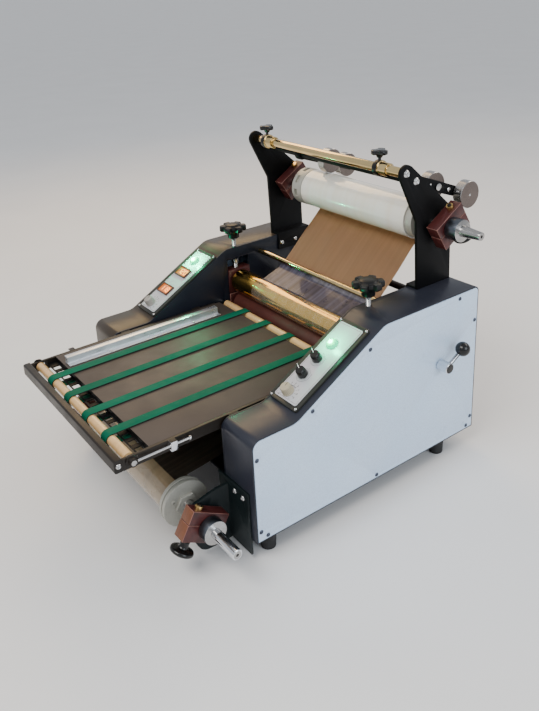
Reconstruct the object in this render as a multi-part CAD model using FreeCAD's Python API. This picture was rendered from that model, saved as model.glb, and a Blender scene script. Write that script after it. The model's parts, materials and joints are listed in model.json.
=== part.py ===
import FreeCAD, Part
import math
import os

# Benchtop roll laminator with a belt feed table.
# Millimetres.  +X is the operator's right, +Y the way the work travels, +Z up.
# The shapes are drawn in machine coordinates: X = 0 half way between the side
# frames, Y = 0 at the front edge of the housings, Z = 0 at their bottom edge.
# They are moved at the end, so that the origin is the bottom centre of the whole.

# ---------------------------------------------------------------- housings
HOUSING_DEPTH = 560.0
NOSE_HEIGHT = 206.0
NOSE_DEPTH = 93.0
REAR_HEIGHT = 323.0
SLANT_TOP_Y = 303.0
FRAME_INNER_X = 215.0
FRAME_THICK = 4.0
PANEL_OUTER_X = 307.0
SHEET = 2.0
PANEL_INSET = 3.0
RUNNING = 0.05          # radial running clearance of a shaft in its bore
FOOT_HEIGHT = 42.0
FOOT_R = 16.0
FOOT_X = 278.0
FOOT_YS = (42.0, 482.0)

# ---------------------------------------------------------------- rollers
NIP_Y = 336.0
NIP_Z = 212.0
NIP_R = 28.0
NIP_GAP = 0.3           # the two rollers all but touch
HEATED_Z = NIP_Z + NIP_R + NIP_GAP / 2
RUBBER_Z = NIP_Z - NIP_R - NIP_GAP / 2
ROLLER_HALF = 205.0
JOURNAL_R = 12.0
JOURNAL_END = 250.5
PULL_Y = 452.0
PULL_R = 15.0
PULL_GAP = 0.2
IDLER_ROD_R = 6.0
UPPER_IDLER_YZ = (400.0, 297.0)
LOWER_IDLER_YZ = (294.0, 134.0)
LOWER_IDLER_R = 8.0

# ---------------------------------------------------------------- gears
MODULE = 2.0
NIP_TEETH = 28
PULL_TEETH = 15
TRAIN_TEETH = 40
PINION_TEETH = 14
BELT_TEETH = 10
PRESSURE_ANGLE = math.radians(25.0)
ADDENDUM = 0.8 * MODULE
DEDENDUM = 1.05 * MODULE
BACKLASH = 0.16
GEAR_X = (240.0, 248.0)

# ---------------------------------------------------------------- feed table
BELT_TOP = 208.0
BELT_THICK = 2.0
BELT_WIDTH = 21.0
BELT_XS = (-119.0, -37.5, 44.0, 125.5)
BELT_ROLLER_R = 9.0
BELT_AXIS_Z = BELT_TOP - BELT_THICK - BELT_ROLLER_R
FRONT_BELT_Y = -168.0
REAR_BELT_Y = 286.0
BELT_ROLLER_HALF = 198.0
TABLE_FRONT_Y = -199.0
RAIL_X = (203.0, 209.0)
RAIL_Z = (184.0, 205.0)
PLATE_FRONT_Y = -152.0
PLATE_REAR_Y = 268.0
PLATE_TOP = BELT_TOP - BELT_THICK - 0.8
GRILLE_DEPTH = 19.0
NUT_END_X = 219.0
TENSIONER_X = 214.5
TENSIONER_Z = 196.5
BAR_BOLT_YZ = (-191.0, 195.5)

# ---------------------------------------------------------------- film and mandrels
UPPER_AXIS = (508.0, 448.0)
LOWER_AXIS = (-66.0, 44.0)
MANDREL_R = 12.5
MANDREL_LEFT = -262.0
MANDREL_RIGHT = 347.0
FILM_X = (-132.0, 190.0)
WEB_X = (-125.0, 182.0)
WEB_THICK = 0.5
WEB_CLEAR = 0.65         # from a roller's surface to the middle of the film
UPPER_ROLL_R = 42.5
LOWER_ROLL_R = 37.0
FLANGE_R = 45.0

# ---------------------------------------------------------------- uprights and rods
UPRIGHT_X = (234.7, 240.7)
UPRIGHT_TOP_YZ = (421.0, 564.0)
LOBE_R = 17.0
TOP_ROD_R = 9.5
CROSS_BAR_YZ = (447.0, 545.0)
CROSS_BAR_R = 8.0
COLLAR_X = 180.0
ARM_LENGTH = 150.0
ARM_SLOPE = math.radians(-20.6)
ARM_THICK = 5.0
RIGHT_ARM_X = 226.0
LEFT_ARM_X = -103.0
WHEEL_R = 27.5
WHEEL_WIDE = 20.0
INNER_WHEEL_AT = 74.0
WHEEL_GAP = 1.0
WHEEL_FACE = 4.0          # solid face in front of the wheel's blind bore
STUD_R = 4.0
STUD_END_GAP = 0.3

# ---------------------------------------------------------------- pressure screws and lever
SCREW_X = 228.0
STEM_R = 5.0
STEM_BOTTOM_Z = 286.0
STAR_Z = 358.0
STAR_R = 31.5
STAR_LOBES = 6
NECK_R = 13.5
NECK_LENGTH = 17.0
LEVER_YZ = (452.0, 187.0)
LEVER_HUB_END = 333.0
LEVER_ARM = 48.0
LEVER_LEAN = math.radians(32.0)
BALL_R = 14.5


# ================================================================ helpers
def vec(x, y, z):
    return FreeCAD.Vector(x, y, z)


def block(x0, x1, y0, y1, z0, z1):
    """A box between two values on each axis."""
    return Part.makeBox(x1 - x0, y1 - y0, z1 - z0, vec(x0, y0, z0))


def rod_x(x0, x1, yz, radius, end_radius=None):
    """A cylinder, or a cone, along X."""
    start = vec(x0, yz[0], yz[1])
    if end_radius is None:
        return Part.makeCylinder(radius, x1 - x0, start, vec(1, 0, 0))
    return Part.makeCone(radius, end_radius, x1 - x0, start, vec(1, 0, 0))


def tube_x(x0, x1, yz, outer, inner):
    """A tube along X."""
    return rod_x(x0, x1, yz, outer).cut(rod_x(x0 - 1, x1 + 1, yz, inner))


def fuse(shapes):
    """One solid from shapes that overlap or touch."""
    whole = shapes[0]
    for shape in shapes[1:]:
        whole = whole.fuse(shape)
    return whole.removeSplitter()


def cut(shape, tools):
    """Take each tool away from the shape."""
    for tool in tools:
        shape = shape.cut(tool)
    return shape


def mirrored(shape):
    """The same shape on the other side of X = 0."""
    return shape.mirror(vec(0, 0, 0), vec(1, 0, 0))


def corner_arc(before, corner, after, radius):
    """Start, middle and end of the arc that rounds a corner in the Y-Z plane."""
    a = (before - corner).normalize()
    b = (after - corner).normalize()
    half = math.acos(max(-1.0, min(1.0, a.dot(b)))) / 2
    reach = radius / math.tan(half)
    centre = corner + (a + b).normalize() * (radius / math.sin(half))
    middle = centre + (corner - centre).normalize() * radius
    return corner + a * reach, middle, corner + b * reach


def outline_x(points, x):
    """A closed wire at one X from (y, z, corner radius) points."""
    spots = [vec(x, y, z) for y, z, radius in points]
    edges = []
    first = None
    last = None
    for index, (y, z, radius) in enumerate(points):
        if radius:
            start, middle, end = corner_arc(spots[index - 1], spots[index],
                                            spots[(index + 1) % len(spots)], radius)
        else:
            start = spots[index]
            end = spots[index]
        if last is not None:
            edges.append(Part.makeLine(last, start))
        if radius:
            edges.append(Part.Arc(start, middle, end).toShape())
        if first is None:
            first = start
        last = end
    edges.append(Part.makeLine(last, first))
    return Part.Wire(edges)


def plate_x(points, x0, x1):
    """A flat plate with a rounded outline, between two X values."""
    return Part.Face(outline_x(points, x0)).extrude(vec(x1 - x0, 0, 0))


def turned(shape, yz, degrees):
    """The shape turned about an X axis through a point."""
    copy = shape.copy()
    copy.rotate(vec(0, yz[0], yz[1]), vec(1, 0, 0), degrees)
    return copy


def button_head(radius, height, shank_r, shank):
    """A domed screw with a hexagon socket, its head's seat at Z = 0, pointing up."""
    ball_r = (radius * radius + height * height) / (2 * height)
    ball = Part.makeSphere(ball_r, vec(0, 0, height - ball_r))
    head = ball.common(Part.makeCylinder(radius, height))
    hexagon = [vec(shank_r * math.cos(math.radians(60 * k)),
                   shank_r * math.sin(math.radians(60 * k)), height * 0.4) for k in range(7)]
    socket = Part.Face(Part.makePolygon(hexagon)).extrude(vec(0, 0, height))
    return head.cut(socket).fuse(Part.makeCylinder(shank_r, shank, vec(0, 0, -shank)))


def placed(shape, direction, position):
    """The shape with its +Z turned to a direction and moved to a position."""
    copy = shape.copy()
    copy.Placement = FreeCAD.Placement(position, FreeCAD.Rotation(vec(0, 0, 1), direction))
    return copy


# ================================================================ housings
def housing_outline(inset=0.0):
    """Side outline of a housing: nose, slant and level top."""
    slant = math.atan2(REAR_HEIGHT - NOSE_HEIGHT, SLANT_TOP_Y - NOSE_DEPTH)
    shift = inset * math.tan(slant / 2)
    return [(inset, inset, 0),
            (inset, NOSE_HEIGHT - inset, 19 - inset),
            (NOSE_DEPTH + shift, NOSE_HEIGHT - inset, 42 + inset),
            (SLANT_TOP_Y + shift, REAR_HEIGHT - inset, 40 - inset),
            (HOUSING_DEPTH - inset, REAR_HEIGHT - inset, 11 - inset),
            (HOUSING_DEPTH - inset, inset, 0)]


PANEL_SCREWS_YZ = [(266, 284), (130, 213), (282, 9), (9, 168), (9, 22), (23, 9),
                   (540, 9), (551, 28), (551, 251), (504, 311)]
COVER_X = (FRAME_INNER_X + FRAME_THICK, PANEL_OUTER_X - 0.6)
WINDOW_Y = (NIP_Y - 30, NIP_Y + 30)
WINDOW_Z = (154.0, 296.0)
BLOCK_Y = (WINDOW_Y[0] + 0.3, WINDOW_Y[1] - 0.3)


def side_frame():
    """Right inner plate that carries every roller."""
    plate = plate_x(housing_outline(), FRAME_INNER_X, FRAME_INNER_X + FRAME_THICK)
    x0 = FRAME_INNER_X - 1
    x1 = FRAME_INNER_X + FRAME_THICK + 1
    holes = [block(x0, x1, WINDOW_Y[0], WINDOW_Y[1], WINDOW_Z[0], WINDOW_Z[1])]
    bores = [((PULL_Y, NIP_Z - PULL_R - PULL_GAP / 2), 6.0 + RUNNING),
             ((PULL_Y, NIP_Z + PULL_R + PULL_GAP / 2), 6.0 + RUNNING),
             (UPPER_IDLER_YZ, 4.0 + RUNNING),
             (LOWER_IDLER_YZ, 5.0 + RUNNING),
             ((REAR_BELT_Y, BELT_AXIS_Z), 5.0 + RUNNING)]
    for centre, radius in bores:
        holes.append(rod_x(x0, x1, centre, radius))
    for y, z in UPRIGHT_SCREWS_YZ:
        holes.append(rod_x(x0, x1, (y, z), 2.7))
    return cut(plate, holes)


def screw_bridge():
    """Threaded bridge above the right roller window, which the pressure screw runs in."""
    bridge = block(FRAME_INNER_X + FRAME_THICK, SCREW_X + 13, WINDOW_Y[0], WINDOW_Y[1], 300, 310)
    return bridge.cut(Part.makeCylinder(STEM_R + RUNNING, 40, vec(SCREW_X, NIP_Y, 290)))


def chassis():
    """Both side frames, the floor plate between them, tie bars and gear studs."""
    frame = fuse([side_frame(), screw_bridge()])
    floor = block(-FRAME_INNER_X, FRAME_INNER_X, 60, 545, 4, 7)
    ties = []
    for yz in ((545, 262), (520, 60), (110, 60)):
        ties.append(rod_x(-FRAME_INNER_X, FRAME_INNER_X, yz, 8))
    stud_start = FRAME_INNER_X + FRAME_THICK
    studs = [rod_x(stud_start, GEAR_X[1] + 3, TRAIN_CENTRE, 6)]
    return [frame, mirrored(frame), floor] + ties + studs


def housing_cover():
    """Right wrap-over cover: bottom, front, nose, slant, top and back in one bent sheet."""
    outer = plate_x(housing_outline(), COVER_X[0], COVER_X[1])
    inner = plate_x(housing_outline(SHEET), COVER_X[0] - 1, COVER_X[1] + 1)
    return cut(outer.cut(inner), [Part.makeCylinder(STEM_R + 1.5, 60, vec(SCREW_X, NIP_Y, 290))])


def drilled_cover(side):
    """One cover with the holes its own controls need in the slope."""
    cover = housing_cover() if side > 0 else mirrored(housing_cover())
    drills = []
    for x, along, radius in panel_holes(side):
        drills.append(on_slant(Part.makeCylinder(radius + 0.3, 12, vec(0, 0, -10)), x, along, 0))
    return cut(cover, drills)


def side_panel():
    """Right outer panel, set inside the rim of its cover."""
    panel = plate_x(housing_outline(PANEL_INSET), PANEL_OUTER_X - SHEET, PANEL_OUTER_X)
    holes = []
    for y, z in PANEL_SCREWS_YZ:
        holes.append(rod_x(PANEL_OUTER_X - 5, PANEL_OUTER_X + 5, (y, z), 2.2))
    return cut(panel, holes)


def right_side_panel():
    """The right panel also lets the lever's shaft through."""
    hole = rod_x(PANEL_OUTER_X - 5, PANEL_OUTER_X + 5, LEVER_YZ, 8 + RUNNING)
    return side_panel().cut(hole)


def feet():
    """Four rubber feet with a slight taper."""
    solids = []
    for x in (-FOOT_X, FOOT_X):
        for y in FOOT_YS:
            solids.append(Part.makeCone(FOOT_R - 2, FOOT_R, FOOT_HEIGHT, vec(x, y, -FOOT_HEIGHT)))
    return solids


# ================================================================ uprights and rods
UPRIGHT_SCREWS_YZ = [(466, 302), (507, 302)]
BRACKET_SCREWS_XZ = [(250, 80), (275, 80)]


def upright():
    """Right upright: leaning plate with a lobe for the rod, foot and hook-over flange."""
    plate = plate_x([(455, REAR_HEIGHT + 0.1, 0), (450, 465, 14), (405, 557, 0), (433, 577, 0),
                     (546, 476, 8), (549, REAR_HEIGHT + 0.1, 0)], *UPRIGHT_X)
    lobe = rod_x(UPRIGHT_X[0], UPRIGHT_X[1], UPRIGHT_TOP_YZ, LOBE_R)
    foot = block(FRAME_INNER_X - 4, UPRIGHT_X[1], 455, 549, REAR_HEIGHT + 0.1, REAR_HEIGHT + 5)
    flange = block(FRAME_INNER_X - 4, FRAME_INNER_X, 455, 549, 286, REAR_HEIGHT + 5)
    whole = fuse([plate, lobe, foot, flange])
    holes = [rod_x(200, 300, UPPER_AXIS, MANDREL_R + 3),
             rod_x(220, 300, UPRIGHT_TOP_YZ, 4.2),
             rod_x(220, 300, CROSS_BAR_YZ, 4.2)]
    for y, z in UPRIGHT_SCREWS_YZ:
        holes.append(rod_x(205, 216, (y, z), 2.7))
    return cut(whole, holes)


def top_rod():
    """Plated rod between the uprights."""
    rod = rod_x(-UPRIGHT_X[0], UPRIGHT_X[0], UPRIGHT_TOP_YZ, TOP_ROD_R)
    return cut(rod, [rod_x(-240, -214, UPRIGHT_TOP_YZ, 4.2), rod_x(214, 240, UPRIGHT_TOP_YZ, 4.2)])


def cross_bar():
    """Black bar behind the plated rod."""
    bar = rod_x(-UPRIGHT_X[0], UPRIGHT_X[0], CROSS_BAR_YZ, CROSS_BAR_R)
    return cut(bar, [rod_x(-240, -214, CROSS_BAR_YZ, 4.2), rod_x(214, 240, CROSS_BAR_YZ, 4.2)])


def arm_point(distance):
    """A point on the cradle arm's centre line."""
    return (CROSS_BAR_YZ[0] + distance * math.cos(ARM_SLOPE),
            CROSS_BAR_YZ[1] + distance * math.sin(ARM_SLOPE))


def cradle_arm(x0, end_side):
    """One cradle arm with its clamp hub and two wheel studs; end_side is the end wheel's side."""
    x1 = x0 + ARM_THICK
    half = 12.0
    strip = plate_x([(-8, -half, 0), (ARM_LENGTH + 10, -half + 2, 8),
                     (ARM_LENGTH + 10, half - 2, 8), (-8, half, 0)], x0, x1)
    strip.rotate(vec(0, 0, 0), vec(1, 0, 0), math.degrees(ARM_SLOPE))
    strip.translate(vec(0, CROSS_BAR_YZ[0], CROSS_BAR_YZ[1]))
    hub = rod_x(x0 - 5, x1 + 2, CROSS_BAR_YZ, 14)
    arm = fuse([strip, hub]).cut(rod_x(x0 - 9, x1 + 9, CROSS_BAR_YZ, CROSS_BAR_R + RUNNING))
    studs = []
    reach = WHEEL_GAP + WHEEL_WIDE - WHEEL_FACE - STUD_END_GAP
    for distance, side in ((ARM_LENGTH, end_side), (INNER_WHEEL_AT, -end_side)):
        start = x1 if side > 0 else x0 - reach
        studs.append(rod_x(start, start + reach, arm_point(distance), STUD_R))
        seat = x0 - 3.5 if side > 0 else x1
        studs.append(rod_x(seat, seat + 3.5, arm_point(distance), 7))
    return fuse([arm] + studs)


def wheel_spans():
    """X start of each of the four wheels, its distance along its arm and the side its face is on."""
    right = RIGHT_ARM_X + ARM_THICK + WHEEL_GAP
    inner_right = RIGHT_ARM_X - WHEEL_GAP - WHEEL_WIDE
    left = LEFT_ARM_X - WHEEL_GAP - WHEEL_WIDE
    inner_left = LEFT_ARM_X + ARM_THICK + WHEEL_GAP
    return {"cradle_wheel_1": (inner_left, INNER_WHEEL_AT, 1),
            "cradle_wheel_2": (left, ARM_LENGTH, -1),
            "cradle_wheel_3": (inner_right, INNER_WHEEL_AT, -1),
            "cradle_wheel_4": (right, ARM_LENGTH, 1)}


def cradle_wheel(x0, distance, side):
    """A steel wheel with chamfered rims, a blind bore and a turning centre in its face."""
    centre = arm_point(distance)
    wheel = rod_x(x0, x0 + WHEEL_WIDE, centre, WHEEL_R)
    wheel = wheel.makeChamfer(0.8, [edge for edge in wheel.Edges if len(edge.Vertexes) == 1])
    face = x0 + WHEEL_WIDE if side > 0 else x0
    back = x0 - 1 if side > 0 else x0 + WHEEL_WIDE + 1
    bore = rod_x(*sorted((back, face - side * WHEEL_FACE)), centre, STUD_R + RUNNING)
    if side > 0:
        dimple = rod_x(face - 1.5, face + 0.5, centre, 0.5, 2.5)
    else:
        dimple = rod_x(face - 0.5, face + 1.5, centre, 2.5, 0.5)
    return cut(wheel, [bore, dimple])


def rod_collar(side):
    """Sliding stop on the plated rod: black clamp ring and a steel sleeve."""
    centre = side * COLLAR_X
    ring = tube_x(centre - 16, centre - 4, UPRIGHT_TOP_YZ, 15.5, TOP_ROD_R + RUNNING)
    sleeve = tube_x(centre - 4, centre + 16, UPRIGHT_TOP_YZ, 13, TOP_ROD_R + RUNNING)
    hole = Part.makeCylinder(3 + RUNNING, 30, vec(centre - 10, *UPRIGHT_TOP_YZ))
    return fuse([ring, sleeve]).cut(hole)


def thumb_knob(side):
    """Winged knob with its screw, on top of a rod collar."""
    y, z = UPRIGHT_TOP_YZ
    x = side * COLLAR_X - 10
    screw = Part.makeCylinder(3, 22, vec(x, y, z + TOP_ROD_R + 0.3))
    base = z + TOP_ROD_R + 17
    knob = Part.makeCylinder(12, 9, vec(x, y, base))
    for turn in range(3):
        angle = math.radians(120 * turn + 30)
        spot = vec(x + 11 * math.cos(angle), y + 11 * math.sin(angle), base)
        knob = knob.fuse(Part.makeCylinder(7, 9, spot))
    neck = Part.makeCone(5, 8, 6, vec(x, y, base - 6))
    return fuse([knob, neck, screw])


# ================================================================ control panels
SLANT_ANGLE = math.atan2(REAR_HEIGHT - NOSE_HEIGHT, SLANT_TOP_Y - NOSE_DEPTH)
CONTROL_START = 13.0
CONTROL_LENGTH = 200.0
CONTROL_X = (217.0, 294.0)
CONTROL_THICK = 5.0
OVERLAY_THICK = 1.0
OVERLAY_X = (226.0, 286.0)
KNOB_X = 250.0
RIGHT_LAMP_AT = 155.0
SELECTOR_ATS = (116.0, 77.0)
SPEED_AT = 37.0
POINTER_AT_REST = 65.0    # degrees from straight up the slope, towards the feed table
LEFT_LAMP_AT = 177.0
DISPLAY_ATS = (139.0, 82.0)
TEMPERATURE_AT = 36.0
SURFACE = CONTROL_THICK + OVERLAY_THICK


def on_slant(shape, x, along, height):
    """Put a shape drawn about Z on the sloped face, facing outwards."""
    copy = shape.copy()
    copy.translate(vec(0, along, height))
    copy.rotate(vec(0, 0, 0), vec(1, 0, 0), math.degrees(SLANT_ANGLE))
    copy.translate(vec(x, NOSE_DEPTH, NOSE_HEIGHT))
    return copy


def slanted_plate(x0, x1, start, length, thick, height, corner, holes):
    """A rounded plate on the sloped face; holes are (x, along, radius)."""
    shape = Part.makeBox(x1 - x0, length, thick, vec(x0, start, 0))
    posts = [edge for edge in shape.Edges if abs(edge.tangentAt(edge.FirstParameter).z) > 0.9]
    shape = shape.makeFillet(corner, posts)
    for x, along, radius in holes:
        shape = shape.cut(Part.makeCylinder(radius, thick + 2, vec(x, along, -1)))
    return on_slant(shape, 0, 0, height)


def control_screw_spots(side):
    """X and distance along the slant of a control plate's four corner screws."""
    spots = []
    for x in (CONTROL_X[0] + 4.5, CONTROL_X[1] - 4.5):
        for along in (CONTROL_START + 4.5, CONTROL_START + CONTROL_LENGTH - 4.5):
            spots.append((side * x, along))
    return spots


def panel_holes(side):
    """Shaft and lamp holes of one control panel."""
    if side > 0:
        holes = [(KNOB_X, RIGHT_LAMP_AT, 8.2)]
        holes += [(KNOB_X, along, 3 + RUNNING) for along in SELECTOR_ATS + (SPEED_AT,)]
        return holes
    return [(-KNOB_X - 10, LEFT_LAMP_AT, 8.2), (-KNOB_X - 10, TEMPERATURE_AT, 3 + RUNNING)]


def span(side, edges):
    """An X span on the right side or its mirror on the left."""
    return sorted((side * edges[0], side * edges[1]))


def control_plate(side):
    """Dark base plate of one control panel."""
    x0, x1 = span(side, CONTROL_X)
    holes = panel_holes(side) + [(x, along, 1.6) for x, along in control_screw_spots(side)]
    return slanted_plate(x0, x1, CONTROL_START, CONTROL_LENGTH, CONTROL_THICK, 0, 4, holes)


def control_overlay(side):
    """Light printed face of one control panel."""
    x0, x1 = span(side, OVERLAY_X)
    return slanted_plate(x0, x1, CONTROL_START + 8, CONTROL_LENGTH - 16, OVERLAY_THICK,
                         CONTROL_THICK, 4, panel_holes(side))


def lamp(x, along):
    """Bezel and domed lens of an indicator lamp."""
    bezel = Part.makeCone(12, 10.5, 3).fuse(Part.makeCylinder(8, SURFACE - 0.5, vec(0, 0, 0.5 - SURFACE)))
    dome = Part.makeSphere(9.2, vec(0, 0, 3 - 1.5))
    dome = dome.common(Part.makeCylinder(9.2, 12, vec(0, 0, 3)))
    return [on_slant(bezel, x, along, SURFACE), on_slant(dome, x, along, SURFACE)]


def display(along):
    """Framed numeric display module on the left panel."""
    frame = Part.makeBox(44, 26, 4, vec(-22, -13, 0))
    window = Part.makeBox(38, 20, 5, vec(-19, -10, 1.5))
    glass = Part.makeBox(38, 20, 1.5, vec(-19, -10, 1.5))
    x = -KNOB_X - 10
    return [on_slant(frame.cut(window), x, along, SURFACE), on_slant(glass, x, along, SURFACE)]


def display_board():
    """Circuit board behind the left control panel, on the inside of the slope."""
    board = Part.makeBox(60, 150, 1.6, vec(-30, 0, 0))
    parts = board
    for along, size in ((20, 14), (60, 22), (105, 16)):
        parts = parts.fuse(Part.makeBox(size, size, 8, vec(-size / 2, along, -8)))
    return on_slant(parts, -KNOB_X - 10, 25, -16)


def pointer_knob():
    """Selector knob: clear round skirt under a tapered pointer grip, turned to its first place."""
    skirt = Part.makeCylinder(13.5, 2.2, vec(0, 0, 0.5))
    grip = Part.makeCone(9, 7.5, 13, vec(0, 0, 2.7))
    wing = Part.makeBox(7, 24, 12, vec(-3.5, -9, 2.7))
    wing = wing.makeFillet(3, [e for e in wing.Edges if abs(e.tangentAt(e.FirstParameter).z) > 0.9])
    shaft = Part.makeCylinder(3, SURFACE + 0.5 + 8, vec(0, 0, -SURFACE - 8))
    knob = fuse([skirt, grip, wing, shaft])
    knob.rotate(vec(0, 0, 0), vec(0, 0, 1), POINTER_AT_REST)
    return knob


def fluted_knob():
    """Round fluted knob for speed or temperature."""
    knob = Part.makeCone(11.5, 10, 16, vec(0, 0, 0.5))
    for flute in range(18):
        angle = math.radians(20 * flute)
        groove = Part.makeCylinder(1.0, 20, vec(11.6 * math.cos(angle), 11.6 * math.sin(angle), 2.5))
        knob = knob.cut(groove)
    shaft = Part.makeCylinder(3, SURFACE + 0.5 + 8, vec(0, 0, -SURFACE - 8))
    return fuse([knob, shaft])


# ================================================================ pressure, rollers, drive
def pressure_screw():
    """Right star knob on its threaded stem."""
    stem = Part.makeCylinder(STEM_R, STAR_Z - STEM_BOTTOM_Z, vec(SCREW_X, NIP_Y, STEM_BOTTOM_Z))
    neck = Part.makeCylinder(NECK_R, NECK_LENGTH, vec(SCREW_X, NIP_Y, STAR_Z + 2 - NECK_LENGTH))
    neck = neck.makeChamfer(1.5, [edge for edge in neck.Edges if edge.CenterOfMass.z < STAR_Z - NECK_LENGTH + 3])
    head = Part.makeCylinder(STAR_R - 7, 17, vec(SCREW_X, NIP_Y, STAR_Z + 2))
    for lobe in range(STAR_LOBES):
        angle = math.radians(360 / STAR_LOBES * lobe)
        spot = vec(SCREW_X + (STAR_R - 8) * math.cos(angle), NIP_Y + (STAR_R - 8) * math.sin(angle),
                   STAR_Z + 2)
        head = head.fuse(Part.makeCylinder(8, 17, spot))
    return fuse([stem, neck, head])


def pressure_spring():
    """Right stack of disc springs, with the cup that the screw's tip turns in."""
    pairs = 5
    outer = 6.8
    inner = 3.6
    thick = 1.4
    step = (SPRING_Z[1] - SPRING_Z[0]) / (2 * pairs)
    outside = []
    for k in range(2 * pairs + 1):
        radius = outer if k % 2 else inner + 2
        outside.append(vec(radius, 0, SPRING_Z[0] + k * step))
    inside = [vec(point.x - thick, 0, point.z) for point in reversed(outside)]
    profile = Part.Face(Part.makePolygon(outside + inside + [outside[0]]))
    stack = profile.revolve(vec(0, 0, 0), vec(0, 0, 1), 360)
    stack.translate(vec(SCREW_X, NIP_Y, 0))
    cup = Part.makeCylinder(8.5, 8, vec(SCREW_X, NIP_Y, SPRING_Z[1] + 0.05))
    cup = cup.cut(Part.makeCylinder(STEM_R + RUNNING, 10, vec(SCREW_X, NIP_Y, STEM_BOTTOM_Z - RUNNING)))
    return [stack, cup]


SPRING_Z = (262.0, 282.0)
POCKET_R = 7.3
POCKET_BOTTOM = SPRING_Z[0] - 3.5
HEATED_BLOCK_Z = (NIP_Z + 1.5, 270.0)
RUBBER_BLOCK_Z = (WINDOW_Z[0] + 0.2, NIP_Z - 1.5)
BLOCK_X = (FRAME_INNER_X - 3, 237.5)


def bearing_block(z_span, axis_z, radius):
    """Right bearing block that sits in the window of the side frame."""
    body = block(BLOCK_X[0], BLOCK_X[1], BLOCK_Y[0], BLOCK_Y[1], z_span[0], z_span[1])
    return body.cut(rod_x(200, 260, (NIP_Y, axis_z), radius + RUNNING))


def involute_gear(yz, teeth, first_tooth, bore, x_span=GEAR_X):
    """A spur gear about X; first_tooth is the angle of one tooth's centre line."""
    pitch_r = MODULE * teeth / 2
    base_r = pitch_r * math.cos(PRESSURE_ANGLE)
    tip_r = pitch_r + ADDENDUM
    root_r = pitch_r - DEDENDUM
    half_pitch = (math.pi * MODULE / 2 - BACKLASH) / 2 / pitch_r
    flank_zero = half_pitch + math.tan(PRESSURE_ANGLE) - PRESSURE_ANGLE

    def half_width(radius):
        roll = math.acos(min(1.0, base_r / radius))
        return flank_zero - (math.tan(roll) - roll)

    steps = 4
    low = max(base_r, root_r + 0.01)
    radii = [low + (tip_r - low) * k / steps for k in range(steps + 1)]
    if root_r < base_r:
        radii = [root_r] + radii
    points = []
    for tooth in range(teeth):
        centre = first_tooth + 2 * math.pi * tooth / teeth
        flank = [(radius, half_width(max(radius, base_r))) for radius in radii]
        for radius, half in flank:
            points.append((radius, centre - half))
        for radius, half in reversed(flank):
            points.append((radius, centre + half))
    spots = [vec(x_span[0], yz[0] + r * math.cos(a), yz[1] + r * math.sin(a)) for r, a in points]
    face = Part.Face(Part.makePolygon(spots + [spots[0]]))
    gear = face.extrude(vec(x_span[1] - x_span[0], 0, 0))
    if bore:
        gear = gear.cut(rod_x(x_span[0] - 1, x_span[1] + 1, yz, bore))
    return gear


def third_point(a, b, from_a, from_b, side):
    """A point at given distances from two others, on one side of their line."""
    dy = b[0] - a[0]
    dz = b[1] - a[1]
    apart = math.hypot(dy, dz)
    along = (from_a ** 2 - from_b ** 2 + apart ** 2) / (2 * apart)
    off = side * math.sqrt(from_a ** 2 - along ** 2)
    return (a[0] + (along * dy - off * dz) / apart, a[1] + (along * dz + off * dy) / apart)


def meshed(driver_yz, driver_teeth, driver_tooth, yz, teeth):
    """Angle of a tooth of a gear that meshes with a driver."""
    line = math.atan2(yz[1] - driver_yz[1], yz[0] - driver_yz[0])
    offset = (driver_tooth - line) / (2 * math.pi / driver_teeth)
    return line + math.pi + (0.5 - offset) * 2 * math.pi / teeth


HEATED_YZ = (NIP_Y, HEATED_Z)
RUBBER_YZ = (NIP_Y, RUBBER_Z)
PULL_LOW_YZ = (PULL_Y, NIP_Z - PULL_R - PULL_GAP / 2)
PULL_HIGH_YZ = (PULL_Y, NIP_Z + PULL_R + PULL_GAP / 2)
REAR_BELT_YZ = (REAR_BELT_Y, BELT_AXIS_Z)
TRAIN_CENTRE = third_point(RUBBER_YZ, PULL_LOW_YZ, MODULE * (NIP_TEETH + TRAIN_TEETH) / 2,
                           MODULE * (TRAIN_TEETH + PULL_TEETH) / 2, -1)
PINION_CENTRE = third_point(RUBBER_YZ, REAR_BELT_YZ, MODULE * (NIP_TEETH + PINION_TEETH) / 2,
                            MODULE * (PINION_TEETH + BELT_TEETH) / 2, 1)
RUBBER_TOOTH = 0.0
HEATED_TOOTH = meshed(RUBBER_YZ, NIP_TEETH, RUBBER_TOOTH, HEATED_YZ, NIP_TEETH)
TRAIN_TOOTH = meshed(RUBBER_YZ, NIP_TEETH, RUBBER_TOOTH, TRAIN_CENTRE, TRAIN_TEETH)
PULL_LOW_TOOTH = meshed(TRAIN_CENTRE, TRAIN_TEETH, TRAIN_TOOTH, PULL_LOW_YZ, PULL_TEETH)
PULL_HIGH_TOOTH = meshed(PULL_LOW_YZ, PULL_TEETH, PULL_LOW_TOOTH, PULL_HIGH_YZ, PULL_TEETH)
PINION_TOOTH = meshed(RUBBER_YZ, NIP_TEETH, RUBBER_TOOTH, PINION_CENTRE, PINION_TEETH)
BELT_TOOTH = meshed(PINION_CENTRE, PINION_TEETH, PINION_TOOTH, REAR_BELT_YZ, BELT_TEETH)


def heated_roller():
    """Hollow plated roller with journals, end gear and a bore for the heater."""
    body = rod_x(-ROLLER_HALF, ROLLER_HALF, HEATED_YZ, NIP_R)
    journal = rod_x(-JOURNAL_END + 8, JOURNAL_END, HEATED_YZ, JOURNAL_R)
    shell = fuse([body, journal]).cut(rod_x(-300, 300, HEATED_YZ, 8))
    return [shell, involute_gear(HEATED_YZ, NIP_TEETH, HEATED_TOOTH, JOURNAL_R)]


def heater_rod():
    """Fixed heating rod in the heated roller, with its end caps outside the journals."""
    rod = rod_x(-253, 253, HEATED_YZ, 6)
    return fuse([rod, rod_x(-261, -253, HEATED_YZ, 9), rod_x(253, 261, HEATED_YZ, 9)])


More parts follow.
